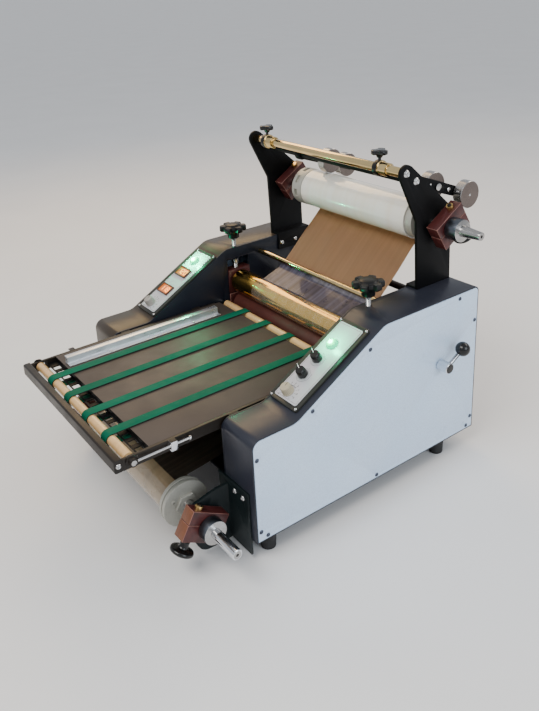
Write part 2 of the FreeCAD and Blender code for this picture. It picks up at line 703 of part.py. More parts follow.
def rubber_roller():
    """Rubber covered roller with steel journals and the gear that drives the others."""
    core = rod_x(-JOURNAL_END + 12, JOURNAL_END, RUBBER_YZ, 10)
    body = rod_x(-ROLLER_HALF, ROLLER_HALF, RUBBER_YZ, NIP_R)
    return [fuse([core, body]), involute_gear(RUBBER_YZ, NIP_TEETH, RUBBER_TOOTH, 10)]


def pull_roller(yz, tooth):
    """Exit roller with its gear."""
    body = rod_x(-190, 190, yz, PULL_R)
    journal = rod_x(-FRAME_INNER_X - FRAME_THICK - 3, GEAR_X[1] + 2, yz, 6)
    return [fuse([body, journal]), involute_gear(yz, PULL_TEETH, tooth, 6)]


def rear_belt_roller():
    """Driven roller of the feed belts."""
    body = rod_x(-BELT_ROLLER_HALF, BELT_ROLLER_HALF, REAR_BELT_YZ, BELT_ROLLER_R)
    journal = rod_x(-FRAME_INNER_X - FRAME_THICK - 3, GEAR_X[1] + 2, REAR_BELT_YZ, 5)
    return [fuse([body, journal]), involute_gear(REAR_BELT_YZ, BELT_TEETH, BELT_TOOTH, 5)]


def idler_rod(yz, radius, journal_r):
    """A plain rod that turns in the side frames."""
    body = rod_x(-FRAME_INNER_X + 2, FRAME_INNER_X - 2, yz, radius)
    journal = rod_x(-FRAME_INNER_X - FRAME_THICK - 2, FRAME_INNER_X + FRAME_THICK + 2, yz, journal_r)
    return fuse([body, journal])


def gear_motor():
    """Worm gearbox with an upright motor, hung from the right side frame."""
    y, z = PINION_CENTRE
    gearbox = block(254, 296, y - 30, y + 30, z - 45, z + 28)
    can = Part.makeCylinder(20, 100, vec(275, y, z - 145))
    cap = Part.makeCylinder(14, 8, vec(275, y, z - 153))
    body = fuse([gearbox, can, cap]).cut(rod_x(250, 282, PINION_CENTRE, 5 + RUNNING))
    legs = []
    for dy in (-24, 24):
        legs.append(rod_x(FRAME_INNER_X + FRAME_THICK, 254, (y + dy, z - 38), 4))
    return fuse([body] + legs)


def motor_pinion():
    """Pinion on the gearbox's output shaft."""
    shaft = rod_x(GEAR_X[0] - 3, 280, PINION_CENTRE, 5)
    return [shaft, involute_gear(PINION_CENTRE, PINION_TEETH, PINION_TOOTH, 5)]


# ================================================================ lever
def lever():
    """Chrome hub, cam shaft and the arm that leans up and back."""
    shaft = rod_x(250, PANEL_OUTER_X + 1, LEVER_YZ, 8)
    cam = rod_x(252, 262, (LEVER_YZ[0], LEVER_YZ[1] + 4), 16)
    hub = rod_x(PANEL_OUTER_X + 0.6, LEVER_HUB_END, LEVER_YZ, 11)
    hub = hub.makeChamfer(1.2, [e for e in hub.Edges if len(e.Vertexes) == 1])
    arm = placed(Part.makeCylinder(4, LEVER_ARM - 6), lever_direction(), lever_root())
    return fuse([shaft, cam, hub, arm])


def lever_direction():
    """Unit vector along the lever's arm."""
    return vec(0.12, math.sin(LEVER_LEAN + 0.35), math.cos(LEVER_LEAN + 0.35)).normalize()


def lever_root():
    """Where the arm leaves the hub."""
    return vec(LEVER_HUB_END - 8, LEVER_YZ[0], LEVER_YZ[1])


def lever_ball():
    """Black ball grip on the arm's end."""
    centre = lever_root() + lever_direction() * LEVER_ARM
    ball = Part.makeSphere(BALL_R, centre)
    return ball.cut(placed(Part.makeCylinder(4, LEVER_ARM - 6), lever_direction(), lever_root()))


# ================================================================ feed table
def table_frame():
    """Front cross bar and the two side rails, with a slot for the front roller's shaft."""
    bar_z = (184.0, 208.0)
    bar = block(-RAIL_X[1], RAIL_X[1], TABLE_FRONT_Y, TABLE_FRONT_Y + 15, *bar_z)
    long_edges = [edge for edge in bar.Edges if abs(edge.tangentAt(edge.FirstParameter).x) > 0.9]
    bar = bar.makeFillet(3.5, long_edges)
    bar = cut(bar, [rod_x(x - 10, x + 10, BAR_BOLT_YZ, 2.7) for x in (-RAIL_X[1], RAIL_X[1])])
    slot = block(150, 260, FRONT_BELT_Y - 5 - RUNNING, FRONT_BELT_Y + 12, BELT_AXIS_Z - 5 - RUNNING,
                 BELT_AXIS_Z + 5 + RUNNING)
    rail = block(RAIL_X[0], RAIL_X[1], TABLE_FRONT_Y + 15, PLATE_REAR_Y - 10, *RAIL_Z).cut(slot)
    lug = block(RAIL_X[1], FRAME_INNER_X, 20, 40, *RAIL_Z)
    rear_lug = block(RAIL_X[1], FRAME_INNER_X, 200, 220, *RAIL_Z)
    bracket = block(RAIL_X[1], TENSIONER_X + 5, FRONT_BELT_Y + 68, FRONT_BELT_Y + 80,
                    RAIL_Z[0] + 4, RAIL_Z[1])
    bore = Part.makeCylinder(2.2 + RUNNING, 40, vec(TENSIONER_X, FRONT_BELT_Y + 55, TENSIONER_Z),
                             vec(0, 1, 0))
    right = fuse([rail, lug, rear_lug, bracket]).cut(bore)
    nut = shaft_nut()
    return [bar, right, mirrored(right), nut, mirrored(nut)]


def table_plate():
    """Plate under the belts' upper run, with a row of square windows at its front."""
    half = RAIL_X[0]
    plate = block(-half, half, PLATE_FRONT_Y + GRILLE_DEPTH, PLATE_REAR_Y, PLATE_TOP - 2, PLATE_TOP)
    grille_z = PLATE_TOP - 9
    grille = block(-half, half, PLATE_FRONT_Y, PLATE_FRONT_Y + GRILLE_DEPTH + 2, grille_z - 2, grille_z)
    riser = block(-half, half, PLATE_FRONT_Y + GRILLE_DEPTH, PLATE_FRONT_Y + GRILLE_DEPTH + 2,
                  grille_z - 2, PLATE_TOP)
    whole = fuse([plate, grille, riser])
    pitch = 24.0
    size = 14.0
    windows = []
    for step in range(16):
        x = -180 + pitch * step
        windows.append(block(x, x + size, PLATE_FRONT_Y + 2.5, PLATE_FRONT_Y + 2.5 + size,
                             grille_z - 5, grille_z + 3))
    return cut(whole, windows)


def front_belt_roller():
    """Front roller of the belts with its long shaft."""
    axis = (FRONT_BELT_Y, BELT_AXIS_Z)
    body = rod_x(-BELT_ROLLER_HALF, BELT_ROLLER_HALF, axis, BELT_ROLLER_R)
    return fuse([body, rod_x(-NUT_END_X, NUT_END_X, axis, 5)])


def feed_belt(x):
    """One endless belt round both rollers."""
    inner = BELT_ROLLER_R + 0.3
    outer = inner + BELT_THICK
    x0 = x - BELT_WIDTH / 2
    x1 = x + BELT_WIDTH / 2
    front = (FRONT_BELT_Y, BELT_AXIS_Z)

    def loop(radius, a, b):
        ends = rod_x(a, b, front, radius).fuse(rod_x(a, b, REAR_BELT_YZ, radius))
        run = block(a, b, FRONT_BELT_Y, REAR_BELT_Y, BELT_AXIS_Z - radius, BELT_AXIS_Z + radius)
        return ends.fuse(run)

    return loop(outer, x0, x1).cut(loop(inner, x0 - 1, x1 + 1)).removeSplitter()


def shaft_nut():
    """Washer and nut on the right end of the front roller's shaft."""
    axis = (FRONT_BELT_Y, BELT_AXIS_Z)
    washer = rod_x(RAIL_X[1] + 0.5, RAIL_X[1] + 2.5, axis, 11)
    nut = rod_x(RAIL_X[1] + 2.5, NUT_END_X - 0.5, axis, 7.5)
    return fuse([washer, nut]).cut(rod_x(200, 240, axis, 5 + RUNNING))


def tensioner_rod():
    """Right adjusting rod of the front roller, with a round head at its back."""
    front = vec(TENSIONER_X, FRONT_BELT_Y + 8, TENSIONER_Z)
    rod = Part.makeCylinder(2.2, 96, front, vec(0, 1, 0))
    head = Part.makeCylinder(4, 4, front + vec(0, 96, 0), vec(0, 1, 0))
    return fuse([rod, head])


GUIDE_X = -150.0
GUIDE_Y = (-127.0, 232.0)


def side_guide():
    """Light alloy edge guide that lies on the plate beside the first belt."""
    base_z = PLATE_TOP + 0.4
    y0, y1 = GUIDE_Y
    base = block(GUIDE_X - 16, GUIDE_X + 10, y0, y1, base_z, base_z + 2)
    fence = block(GUIDE_X - 16, GUIDE_X - 2, y0, y1, base_z, base_z + 15)
    hollow = block(GUIDE_X - 14, GUIDE_X - 4, y0 - 1, y1 + 1, base_z + 2, base_z + 13)
    screws = []
    for y in (y0 + 90, y1 - 70):
        screws.append(Part.makeCylinder(4, 3, vec(GUIDE_X + 5, y, base_z + 2)))
    return fuse([base, fence.cut(hollow)] + screws)


# ================================================================ film supply
BRAKE_CAP_V = (0.6, 25.0)
BRAKE_SHOE_V = (-30.0, -0.6)
BRAKE_FAR_U = 45.0
BRAKE_NEAR_U = 33.0
CLAMP_U = 27.0
CLAMP_R = 4.0
CAP_R = 22.0
UPPER_BRAKE_X = (250.0, 276.0)
UPPER_LEFT_BLOCK_X = (-231.0, -205.0)
LOWER_BRAKE_X = (235.0, 261.0)
LOWER_LEFT_BLOCK_X = (-222.0, -198.0)
UPPER_BRAKE = (UPPER_AXIS, 31.5, 1)
LOWER_BRAKE = (LOWER_AXIS, -30.5, -1)
HUB_R = 22.0


def brake_blocks(brake, x0, x1):
    """Two phenolic half blocks round a mandrel; brake is its axis, turn and clamp side."""
    axis, degrees, side = brake
    bore = rod_x(x0 - 1, x1 + 1, axis, MANDREL_R + RUNNING)
    clamp_y = axis[0] + side * CLAMP_U
    hole = Part.makeCylinder(CLAMP_R + RUNNING, 80, vec((x0 + x1) / 2, clamp_y, axis[1] - 40))
    u0, u1 = sorted((side * BRAKE_FAR_U, -side * BRAKE_NEAR_U))
    halves = []
    for v0, v1 in (BRAKE_CAP_V, BRAKE_SHOE_V):
        half = block(x0, x1, axis[0] + u0, axis[0] + u1, axis[1] + v0, axis[1] + v1)
        halves.append(turned(cut(half, [bore, hole]), axis, degrees))
    return halves


def clamp_nut(brake, x, screw_long):
    """Nut above the cap; on the left blocks a short screw goes with it."""
    axis, degrees, side = brake
    spot = vec(x, axis[0] + side * CLAMP_U, axis[1] + BRAKE_CAP_V[1] + 0.2)
    nut = Part.makeCylinder(7, 6, spot)
    if screw_long:
        nut = nut.fuse(Part.makeCylinder(CLAMP_R, screw_long, spot - vec(0, 0, screw_long)))
    else:
        nut = nut.cut(Part.makeCylinder(CLAMP_R + RUNNING, 10, spot - vec(0, 0, 1)))
    return turned(nut, axis, degrees)


def brake_knob(brake, x):
    """Mushroom knob under the shoe with the screw that pulls the two halves together."""
    axis, degrees, side = brake
    y = axis[0] + side * CLAMP_U
    seat = axis[1] + BRAKE_SHOE_V[0] - 0.3
    top = axis[1] + BRAKE_CAP_V[1] + 8
    screw = Part.makeCylinder(CLAMP_R, top - seat + 4, vec(x, y, seat - 4))
    neck = Part.makeCylinder(9, 15, vec(x, y, seat - 15))
    crown = Part.makeCone(CAP_R - 2, CAP_R, 4, vec(x, y, seat - 22))
    rim = Part.makeCone(CAP_R, CAP_R - 8, 8, vec(x, y, seat - 18))
    dome = Part.makeCone(CAP_R - 9, CAP_R - 2, 5, vec(x, y, seat - 27))
    return turned(fuse([screw, neck, rim, crown, dome]), axis, degrees)


def upper_mandrel():
    """Upper shaft with slotted core chucks, friction hub and tapered end."""
    hub = rod_x(UPPER_BRAKE_X[1] + 1, UPPER_BRAKE_X[1] + 27, UPPER_AXIS, HUB_R)
    end = rod_x(UPPER_BRAKE_X[1] + 27, MANDREL_RIGHT, UPPER_AXIS, 11.5, 8)
    shaft = rod_x(MANDREL_LEFT, UPPER_BRAKE_X[1] + 27, UPPER_AXIS, MANDREL_R)
    ring = rod_x(-164, FILM_X[0] - 1, UPPER_AXIS, UPPER_ROLL_R)
    slots = []
    for turn in range(8):
        slot = block(-156, -146, UPPER_AXIS[0] + UPPER_ROLL_R - 7, UPPER_AXIS[0] + UPPER_ROLL_R + 2,
                     UPPER_AXIS[1] - 9, UPPER_AXIS[1] + 9)
        slots.append(turned(slot, UPPER_AXIS, 45 * turn + 10))
    ring = cut(ring, slots)
    right = rod_x(FILM_X[1] + 1, FILM_X[1] + 18, UPPER_AXIS, UPPER_ROLL_R - 3)
    whole = fuse([shaft, hub, end, ring, right])
    return whole.cut(rod_x(MANDREL_RIGHT - 8, MANDREL_RIGHT + 1, UPPER_AXIS, 3))


def lower_mandrel():
    """Lower shaft with its cast flanges, friction hub and straight end."""
    hub_end = LOWER_BRAKE_X[1] + 21
    shaft = rod_x(MANDREL_LEFT, hub_end, LOWER_AXIS, MANDREL_R)
    hub = rod_x(LOWER_BRAKE_X[1] + 1, hub_end, LOWER_AXIS, HUB_R)
    end = rod_x(hub_end, MANDREL_RIGHT, LOWER_AXIS, 7.5)
    solids = [shaft, hub, end]
    for x0, x1, radius in ((LOWER_FILM_X[1] + 1, LOWER_FILM_X[1] + 8, FLANGE_R),
                           (LOWER_FILM_X[1] + 8, LOWER_FILM_X[1] + 11, FLANGE_R - 5),
                           (LOWER_FILM_X[1] + 11, LOWER_FILM_X[1] + 19, FLANGE_R),
                           (LOWER_FILM_X[1] + 19, LOWER_FILM_X[1] + 26, 20),
                           (LOWER_FILM_X[0] - 8, LOWER_FILM_X[0] - 1, FLANGE_R)):
        solids.append(rod_x(x0, x1, LOWER_AXIS, radius))
    whole = fuse(solids)
    return whole.cut(rod_x(MANDREL_RIGHT - 8, MANDREL_RIGHT + 1, LOWER_AXIS, 2.5))


LOWER_FILM_X = (-150.0, 165.0)


def film_roll(axis, x_span, radius):
    """Film wound on its core."""
    return tube_x(x_span[0], x_span[1], axis, radius, MANDREL_R + RUNNING)


def lower_bracket():
    """Right forward bracket: flange on the housing's front and a rounded carrying lobe."""
    flange = block(200, 292, -4, 0, -30, 96)
    lobe = plate_x([(-4, -32, 0), (-66, -32, 26), (-90, 20, 26), (-84, 72, 18), (-30, 84, 12),
                    (-4, 84, 0)], 224, 230)
    holes = [rod_x(200, 250, LOWER_AXIS, MANDREL_R + 1.5)]
    for x, z in BRACKET_SCREWS_XZ:
        holes.append(Part.makeCylinder(2.7, 12, vec(x, -6, z), vec(0, 1, 0)))
    return cut(fuse([flange, lobe]), holes)


def tangent_run(centre_a, radius_a, side_a, centre_b, radius_b, side_b):
    """End points of the tangent from circle a to circle b; side is +1 left, -1 right of the run."""
    dy = centre_b[0] - centre_a[0]
    dz = centre_b[1] - centre_a[1]
    apart = math.hypot(dy, dz)
    line = math.atan2(dz, dy)
    lean = math.asin((side_a * radius_a - side_b * radius_b) / apart)
    normal = line + lean + math.pi / 2
    a = (centre_a[0] - side_a * radius_a * math.cos(normal), centre_a[1] - side_a * radius_a * math.sin(normal))
    b = (centre_b[0] - side_b * radius_b * math.cos(normal), centre_b[1] - side_b * radius_b * math.sin(normal))
    return a, b


def web_run(a, b, x_span):
    """A flat stretch of film between two points, as thick as the film is drawn."""
    length = math.hypot(b[0] - a[0], b[1] - a[1])
    angle = math.degrees(math.atan2(b[1] - a[1], b[0] - a[0]))
    sheet = Part.makeBox(x_span[1] - x_span[0], length, WEB_THICK, vec(x_span[0], 0, -WEB_THICK / 2))
    sheet.rotate(vec(0, 0, 0), vec(1, 0, 0), angle)
    sheet.translate(vec(0, a[0], a[1]))
    return sheet


def upper_web():
    """Upper film from the underside of its roll down to the back of the idler rod."""
    a, b = tangent_run(UPPER_AXIS, UPPER_ROLL_R + WEB_CLEAR, -1, UPPER_IDLER_YZ, IDLER_ROD_R + WEB_CLEAR, -1)
    return web_run(a, b, WEB_X)


def roller_film():
    """Upper film from under the idler rod to just above the heated roller, clear of its lift."""
    start = (UPPER_IDLER_YZ[0] - 12, UPPER_IDLER_YZ[1] - 14)
    return web_run(start, (NIP_Y + 11, HEATED_Z + NIP_R + 2.4), WEB_X)


def lower_web():
    """Lower film from its roll back to the lower idler rod."""
    a, b = tangent_run(LOWER_AXIS, LOWER_ROLL_R + WEB_CLEAR, -1, LOWER_IDLER_YZ, LOWER_IDLER_R + WEB_CLEAR, 1)
    return web_run(a, b, (LOWER_FILM_X[0] + 4, LOWER_FILM_X[1] - 4))


# ================================================================ fasteners and electrics
def screws():
    """Button-head screws of the panels, control plates, uprights, rods and brackets."""
    solids = []
    small = button_head(4.2, 2.4, 2.0, 6)
    for y, z in PANEL_SCREWS_YZ:
        solids.append(placed(small, vec(1, 0, 0), vec(PANEL_OUTER_X, y, z)))
        solids.append(placed(small, vec(-1, 0, 0), vec(-PANEL_OUTER_X, y, z)))
    tiny = button_head(2.8, 1.6, 1.4, 4)
    for side in (-1, 1):
        for x, along in control_screw_spots(side):
            solids.append(on_slant(tiny, x, along, CONTROL_THICK))
    middle = button_head(5.0, 3.0, 2.5, 7)
    for side in (-1, 1):
        for y, z in UPRIGHT_SCREWS_YZ:
            solids.append(placed(middle, vec(-side, 0, 0), vec(side * (FRAME_INNER_X - 4), y, z)))
        for x, z in BRACKET_SCREWS_XZ:
            solids.append(placed(button_head(5.0, 3.0, 2.5, 3.6), vec(0, -1, 0), vec(side * x, -4, z)))
        solids.append(placed(middle, vec(side, 0, 0), vec(side * RAIL_X[1], *BAR_BOLT_YZ)))
        for yz in (UPRIGHT_TOP_YZ, CROSS_BAR_YZ):
            big = button_head(7.5, 4.2, 4.0, 22)
            solids.append(placed(big, vec(side, 0, 0), vec(side * UPRIGHT_X[1], *yz)))
    for brake, x_span, screw_long in ((UPPER_BRAKE, UPPER_BRAKE_X, 0), (LOWER_BRAKE, LOWER_BRAKE_X, 0),
                                      (UPPER_BRAKE, UPPER_LEFT_BLOCK_X, 50),
                                      (LOWER_BRAKE, LOWER_LEFT_BLOCK_X, 50)):
        solids.append(clamp_nut(brake, sum(x_span) / 2, screw_long))
    return solids


INLET_XZ = (-262.0, 60.0)


def power_inlet():
    """Mains appliance inlet in the back of the left housing."""
    x, z = INLET_XZ
    y = HOUSING_DEPTH
    flange = block(x - 25, x + 25, y, y + 3, z - 14, z + 14)
    shroud = block(x - 15, x + 15, y, y + 6, z - 11, z + 11)
    cavity = block(x - 12, x + 12, y + 0.5, y + 7, z - 8, z + 8)
    body = fuse([flange, shroud]).cut(cavity)
    pins = []
    for dx in (-7, 0, 7):
        pins.append(block(x + dx - 1, x + dx + 1, y, y + 5, z - 3, z + 3))
    return fuse([body] + pins)


def build():
    """Every node's solids, by name, in machine coordinates."""
    nodes = {
        "chassis": chassis(),
        "housing_covers": [drilled_cover(1), drilled_cover(-1)],
        "side_panels": [right_side_panel(), mirrored(side_panel())],
        "screws": screws(),
        "rubber_feet": feet(),
        "uprights": [upright(), mirrored(upright())],
        "top_rods": [top_rod(), cross_bar()],
        "cradle_arm_right": [cradle_arm(RIGHT_ARM_X, 1)],
        "cradle_arm_left": [cradle_arm(LEFT_ARM_X, -1)],
        "rod_collar_left": [rod_collar(-1)],
        "rod_collar_right": [rod_collar(1)],
        "collar_knob_left": [thumb_knob(-1)],
        "collar_knob_right": [thumb_knob(1)],
        "control_plates": [control_plate(1), control_plate(-1)],
        "control_overlays": [control_overlay(1), control_overlay(-1)],
        "indicator_lamps": lamp(KNOB_X, RIGHT_LAMP_AT) + lamp(-KNOB_X - 10, LEFT_LAMP_AT),
        "temperature_displays": display(DISPLAY_ATS[0]) + display(DISPLAY_ATS[1]) + [display_board()],
        "selector_knob_upper": [on_slant(pointer_knob(), KNOB_X, SELECTOR_ATS[0], SURFACE)],
        "selector_knob_lower": [on_slant(pointer_knob(), KNOB_X, SELECTOR_ATS[1], SURFACE)],
        "speed_knob": [on_slant(fluted_knob(), KNOB_X, SPEED_AT, SURFACE)],
        "temperature_knob": [on_slant(fluted_knob(), -KNOB_X - 10, TEMPERATURE_AT, SURFACE)],
        "pressure_screw_right": [pressure_screw()],
        "pressure_screw_left": [mirrored(pressure_screw())],
        "pressure_spring_right": pressure_spring(),
        "pressure_spring_left": [mirrored(solid) for solid in pressure_spring()],
        "lower_bearing_blocks": lower_blocks(),
        "roller_carriage": carriage(),
        "heated_roller": heated_roller(),
        "rubber_roller": rubber_roller(),
        "pull_roller_upper": pull_roller(PULL_HIGH_YZ, PULL_HIGH_TOOTH),
        "pull_roller_lower": pull_roller(PULL_LOW_YZ, PULL_LOW_TOOTH),
        "train_idler_gear": [involute_gear(TRAIN_CENTRE, TRAIN_TEETH, TRAIN_TOOTH, 6 + RUNNING)],
        "gear_motor": [gear_motor()],
        "motor_pinion": motor_pinion(),
        "lift_lever": [lever(), lever_ball()],
        "table_frame": table_frame(),
        "table_plate": [table_plate()],
        "front_belt_roller": [front_belt_roller()],
        "rear_belt_roller": rear_belt_roller(),
        "feed_belts": [feed_belt(x) for x in BELT_XS],
        "tensioner_rod_right": [tensioner_rod()],
        "tensioner_rod_left": [mirrored(tensioner_rod())],
        "side_guide": [side_guide()],
        "upper_mandrel": [upper_mandrel()],
        "lower_mandrel": [lower_mandrel()],
        "upper_film_roll": [film_roll(UPPER_AXIS, FILM_X, UPPER_ROLL_R)],
        "lower_film_roll": [film_roll(LOWER_AXIS, LOWER_FILM_X, LOWER_ROLL_R)],
        "brake_blocks": (brake_blocks(UPPER_BRAKE, *UPPER_BRAKE_X)
                         + brake_blocks(UPPER_BRAKE, *UPPER_LEFT_BLOCK_X)
                         + brake_blocks(LOWER_BRAKE, *LOWER_BRAKE_X)
                         + brake_blocks(LOWER_BRAKE, *LOWER_LEFT_BLOCK_X)),
        "upper_brake_knob": [brake_knob(UPPER_BRAKE, sum(UPPER_BRAKE_X) / 2)],
        "lower_brake_knob": [brake_knob(LOWER_BRAKE, sum(LOWER_BRAKE_X) / 2)],
        "lower_brackets": [lower_bracket(), mirrored(lower_bracket())],
        "upper_idler_rod": [idler_rod(UPPER_IDLER_YZ, IDLER_ROD_R, 4)],
        "lower_idler_rod": [idler_rod(LOWER_IDLER_YZ, LOWER_IDLER_R, 5)],
        "upper_film_web": [upper_web(), roller_film()],
        "lower_film_web": [lower_web()],
        "power_inlet": [power_inlet()],
    }
    for name, (x0, distance, face_side) in wheel_spans().items():
        nodes[name] = [cradle_wheel(x0, distance, face_side)]
    return nodes


def lower_blocks():
    """Fixed bearing blocks of the rubber roller."""
    right = bearing_block(RUBBER_BLOCK_Z, RUBBER_Z, 10)
    return [right, mirrored(right)]


def carriage():
    """Rising bearing blocks of the heated roller, pocketed for the springs, and its heater."""
    pocket = Part.makeCylinder(POCKET_R, 30, vec(SCREW_X, NIP_Y, POCKET_BOTTOM))
    right = bearing_block(HEATED_BLOCK_Z, HEATED_Z, JOURNAL_R).cut(pocket)
    return [right, mirrored(right), heater_rod()]


def origin_shift(nodes):
    """Move that puts the origin at the bottom centre of the whole object."""
    whole = Part.makeCompound([solid for solids in nodes.values() for solid in solids])
    box = whole.optimalBoundingBox(False, False)
    return vec(-(box.XMin + box.XMax) / 2, -(box.YMin + box.YMax) / 2, -box.ZMin)


def main():
    os.makedirs("parts", exist_ok=True)
    nodes = build()
    shift = origin_shift(nodes)
    print("origin shift", tuple(round(value, 4) for value in shift), "nodes", len(nodes))
    for name, solids in nodes.items():
        shape = Part.makeCompound(solids) if len(solids) > 1 else solids[0]
        shape.translate(shift)
        shape.exportStep(os.path.join("parts", name + ".step"))


if __name__ == "__main__":
    main()
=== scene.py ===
import bpy
import bmesh
import json
import math
from mathutils import Matrix, Vector


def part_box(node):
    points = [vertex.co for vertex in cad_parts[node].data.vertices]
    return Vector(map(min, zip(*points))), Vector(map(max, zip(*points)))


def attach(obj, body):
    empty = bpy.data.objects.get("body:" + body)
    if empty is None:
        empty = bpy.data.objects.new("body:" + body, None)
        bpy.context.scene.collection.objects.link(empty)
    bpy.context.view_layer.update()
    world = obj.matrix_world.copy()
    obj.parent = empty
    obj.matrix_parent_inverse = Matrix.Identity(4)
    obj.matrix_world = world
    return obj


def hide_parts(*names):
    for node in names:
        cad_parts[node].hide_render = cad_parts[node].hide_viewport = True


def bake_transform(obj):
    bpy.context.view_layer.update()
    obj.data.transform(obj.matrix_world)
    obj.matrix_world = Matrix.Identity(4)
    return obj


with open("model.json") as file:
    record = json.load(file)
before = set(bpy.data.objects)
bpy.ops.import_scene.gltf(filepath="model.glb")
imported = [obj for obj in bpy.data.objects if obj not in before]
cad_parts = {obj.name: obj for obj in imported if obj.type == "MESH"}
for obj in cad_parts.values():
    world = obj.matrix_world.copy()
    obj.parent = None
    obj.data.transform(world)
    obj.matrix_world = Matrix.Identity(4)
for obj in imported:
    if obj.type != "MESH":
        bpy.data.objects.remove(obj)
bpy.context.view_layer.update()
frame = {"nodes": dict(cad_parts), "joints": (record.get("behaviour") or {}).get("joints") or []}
NODES = frame["nodes"]
JOINTS = {joint["name"]: joint for joint in frame["joints"]}


# ================================================================ places read from the frame
def joint_at(name):
    """Where a hinge's axis passes, in metres."""
    return Vector(JOINTS[name]["pos_m"])


def low(node):
    """Lowest corner of a CAD node's box."""
    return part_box(node)[0]


def high(node):
    """Highest corner of a CAD node's box."""
    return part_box(node)[1]


def middle(node):
    """Middle of a CAD node's box."""
    return (low(node) + high(node)) / 2


PANEL_LOW = low("side_panels")
PANEL_HIGH = high("side_panels")
PANEL_MIDDLE_Y = (PANEL_LOW.y + PANEL_HIGH.y) / 2
CENTRE_X = (PANEL_LOW.x + PANEL_HIGH.x) / 2
UPPER_AXIS = joint_at("upper_mandrel_spin")
LOWER_AXIS = joint_at("lower_mandrel_spin")
HEATED_AXIS = joint_at("heated_roller_spin")
RUBBER_AXIS = joint_at("rubber_roller_spin")
UPPER_IDLER = joint_at("upper_idler_spin")
FRONT_BELT_AXIS = joint_at("front_belt_roller_spin")
SLANT_NORMAL = Vector(JOINTS["speed_knob_turn"]["axis"]).normalized()
ALONG = Vector((0.0, SLANT_NORMAL.z, -SLANT_NORMAL.y)).normalized()
ACROSS = Vector((1.0, 0.0, 0.0))
UP = Vector((0.0, 0.0, 1.0))


# ================================================================ node helpers
def material(name):
    """A new material with its shader and a way to add nodes."""
    mat = bpy.data.materials.new(name)
    mat.use_nodes = True
    tree = mat.node_tree
    shader = tree.nodes["Principled BSDF"]
    return mat, tree, shader


def coords(tree, stretch=(1.0, 1.0, 1.0)):
    """Object coordinates in metres, stretched along the axes."""
    source = tree.nodes.new("ShaderNodeTexCoord")
    mapping = tree.nodes.new("ShaderNodeMapping")
    mapping.inputs["Scale"].default_value = stretch
    tree.links.new(source.outputs["Object"], mapping.inputs["Vector"])
    return mapping.outputs["Vector"]


def noise(tree, scale, detail=3.0, rough=0.5, stretch=(1.0, 1.0, 1.0)):
    """Noise in object space; scale is per metre."""
    node = tree.nodes.new("ShaderNodeTexNoise")
    node.inputs["Scale"].default_value = scale
    node.inputs["Detail"].default_value = detail
    node.inputs["Roughness"].default_value = rough
    tree.links.new(coords(tree, stretch), node.inputs["Vector"])
    return node.outputs["Fac"]


def ramp(tree, source, stops):
    """Colour ramp; stops are (place, colour)."""
    node = tree.nodes.new("ShaderNodeValToRGB")
    while len(node.color_ramp.elements) < len(stops):
        node.color_ramp.elements.new(0.5)
    for element, (place, colour) in zip(node.color_ramp.elements, stops):
        element.position = place
        element.color = colour if len(colour) == 4 else (*colour, 1.0)
    tree.links.new(source, node.inputs["Fac"])
    return node.outputs["Color"]


def grey(value):
    """A neutral colour."""
    return (value, value, value, 1.0)


def mixed(tree, factor, first, second, mode="MIX"):
    """Mix of two colours or colour outputs."""
    node = tree.nodes.new("ShaderNodeMix")
    node.data_type = "RGBA"
    node.blend_type = mode
    for socket, value in ((node.inputs[0], factor), (node.inputs[6], first), (node.inputs[7], second)):
        if isinstance(value, (float, int)):
            socket.default_value = value
        elif isinstance(value, tuple):
            socket.default_value = value if len(value) == 4 else (*value, 1.0)
        else:
            tree.links.new(value, socket)
    return node.outputs[2]


def set_sockets(shader, values):
    """Constant values of a shader, by the sockets' names."""
    for name, value in values.items():
        shader.inputs[name].default_value = value


def roughened(tree, shader, source, smooth, rough):
    """Roughness that follows a noise."""
    tree.links.new(ramp(tree, source, [(0.3, grey(smooth)), (0.7, grey(rough))]), shader.inputs["Roughness"])


def bumped(tree, shader, height, strength, distance):
    """Bump from a height."""
    node = tree.nodes.new("ShaderNodeBump")
    node.inputs["Strength"].default_value = strength
    node.inputs["Distance"].default_value = distance
    tree.links.new(height, node.inputs["Height"])
    tree.links.new(node.outputs["Normal"], shader.inputs["Normal"])


# ================================================================ materials
def coated_metal(name, dark, light, grain, rough, bump, coat, gloss=0.25):
    """Powder or wet coat: slow colour drift, orange peel and fine specks."""
    mat, tree, shader = material(name)
    drift = ramp(tree, noise(tree, 7.0, 4.0), [(0.3, dark), (0.7, light)])
    speck = ramp(tree, noise(tree, grain * 1.3, 2.0), [(0.40, grey(0.82)), (0.62, grey(1.0))])
    tree.links.new(mixed(tree, 1.0, drift, speck, "MULTIPLY"), shader.inputs["Base Color"])
    roughened(tree, shader, noise(tree, 22.0, 5.0), *rough)
    set_sockets(shader, {"Specular IOR Level": gloss, "Coat Weight": coat, "Coat Roughness": 0.25})
    bumped(tree, shader, noise(tree, grain, 2.0), bump, 0.0002)
    return mat


def bare_metal(name, colour, rough, lines, line_scale, bump, metallic=1.0):
    """Turned, brushed or plated metal: fine lines, smears and slight colour drift."""
    mat, tree, shader = material(name)
    darker = tuple(value * 0.86 for value in colour)
    drift = ramp(tree, noise(tree, 18.0, 4.0), [(0.35, darker), (0.65, colour)])
    fine = noise(tree, line_scale, 2.0, 0.6, lines)
    shade = ramp(tree, fine, [(0.3, grey(0.88)), (0.7, grey(1.0))])
    tree.links.new(mixed(tree, 1.0, drift, shade, "MULTIPLY"), shader.inputs["Base Color"])
    smear = ramp(tree, noise(tree, 35.0, 5.0), [(0.35, grey(rough[0])), (0.7, grey(rough[1]))])
    tree.links.new(smear, shader.inputs["Roughness"])
    set_sockets(shader, {"Metallic": metallic})
    bumped(tree, shader, fine, bump, 0.00008)
    return mat


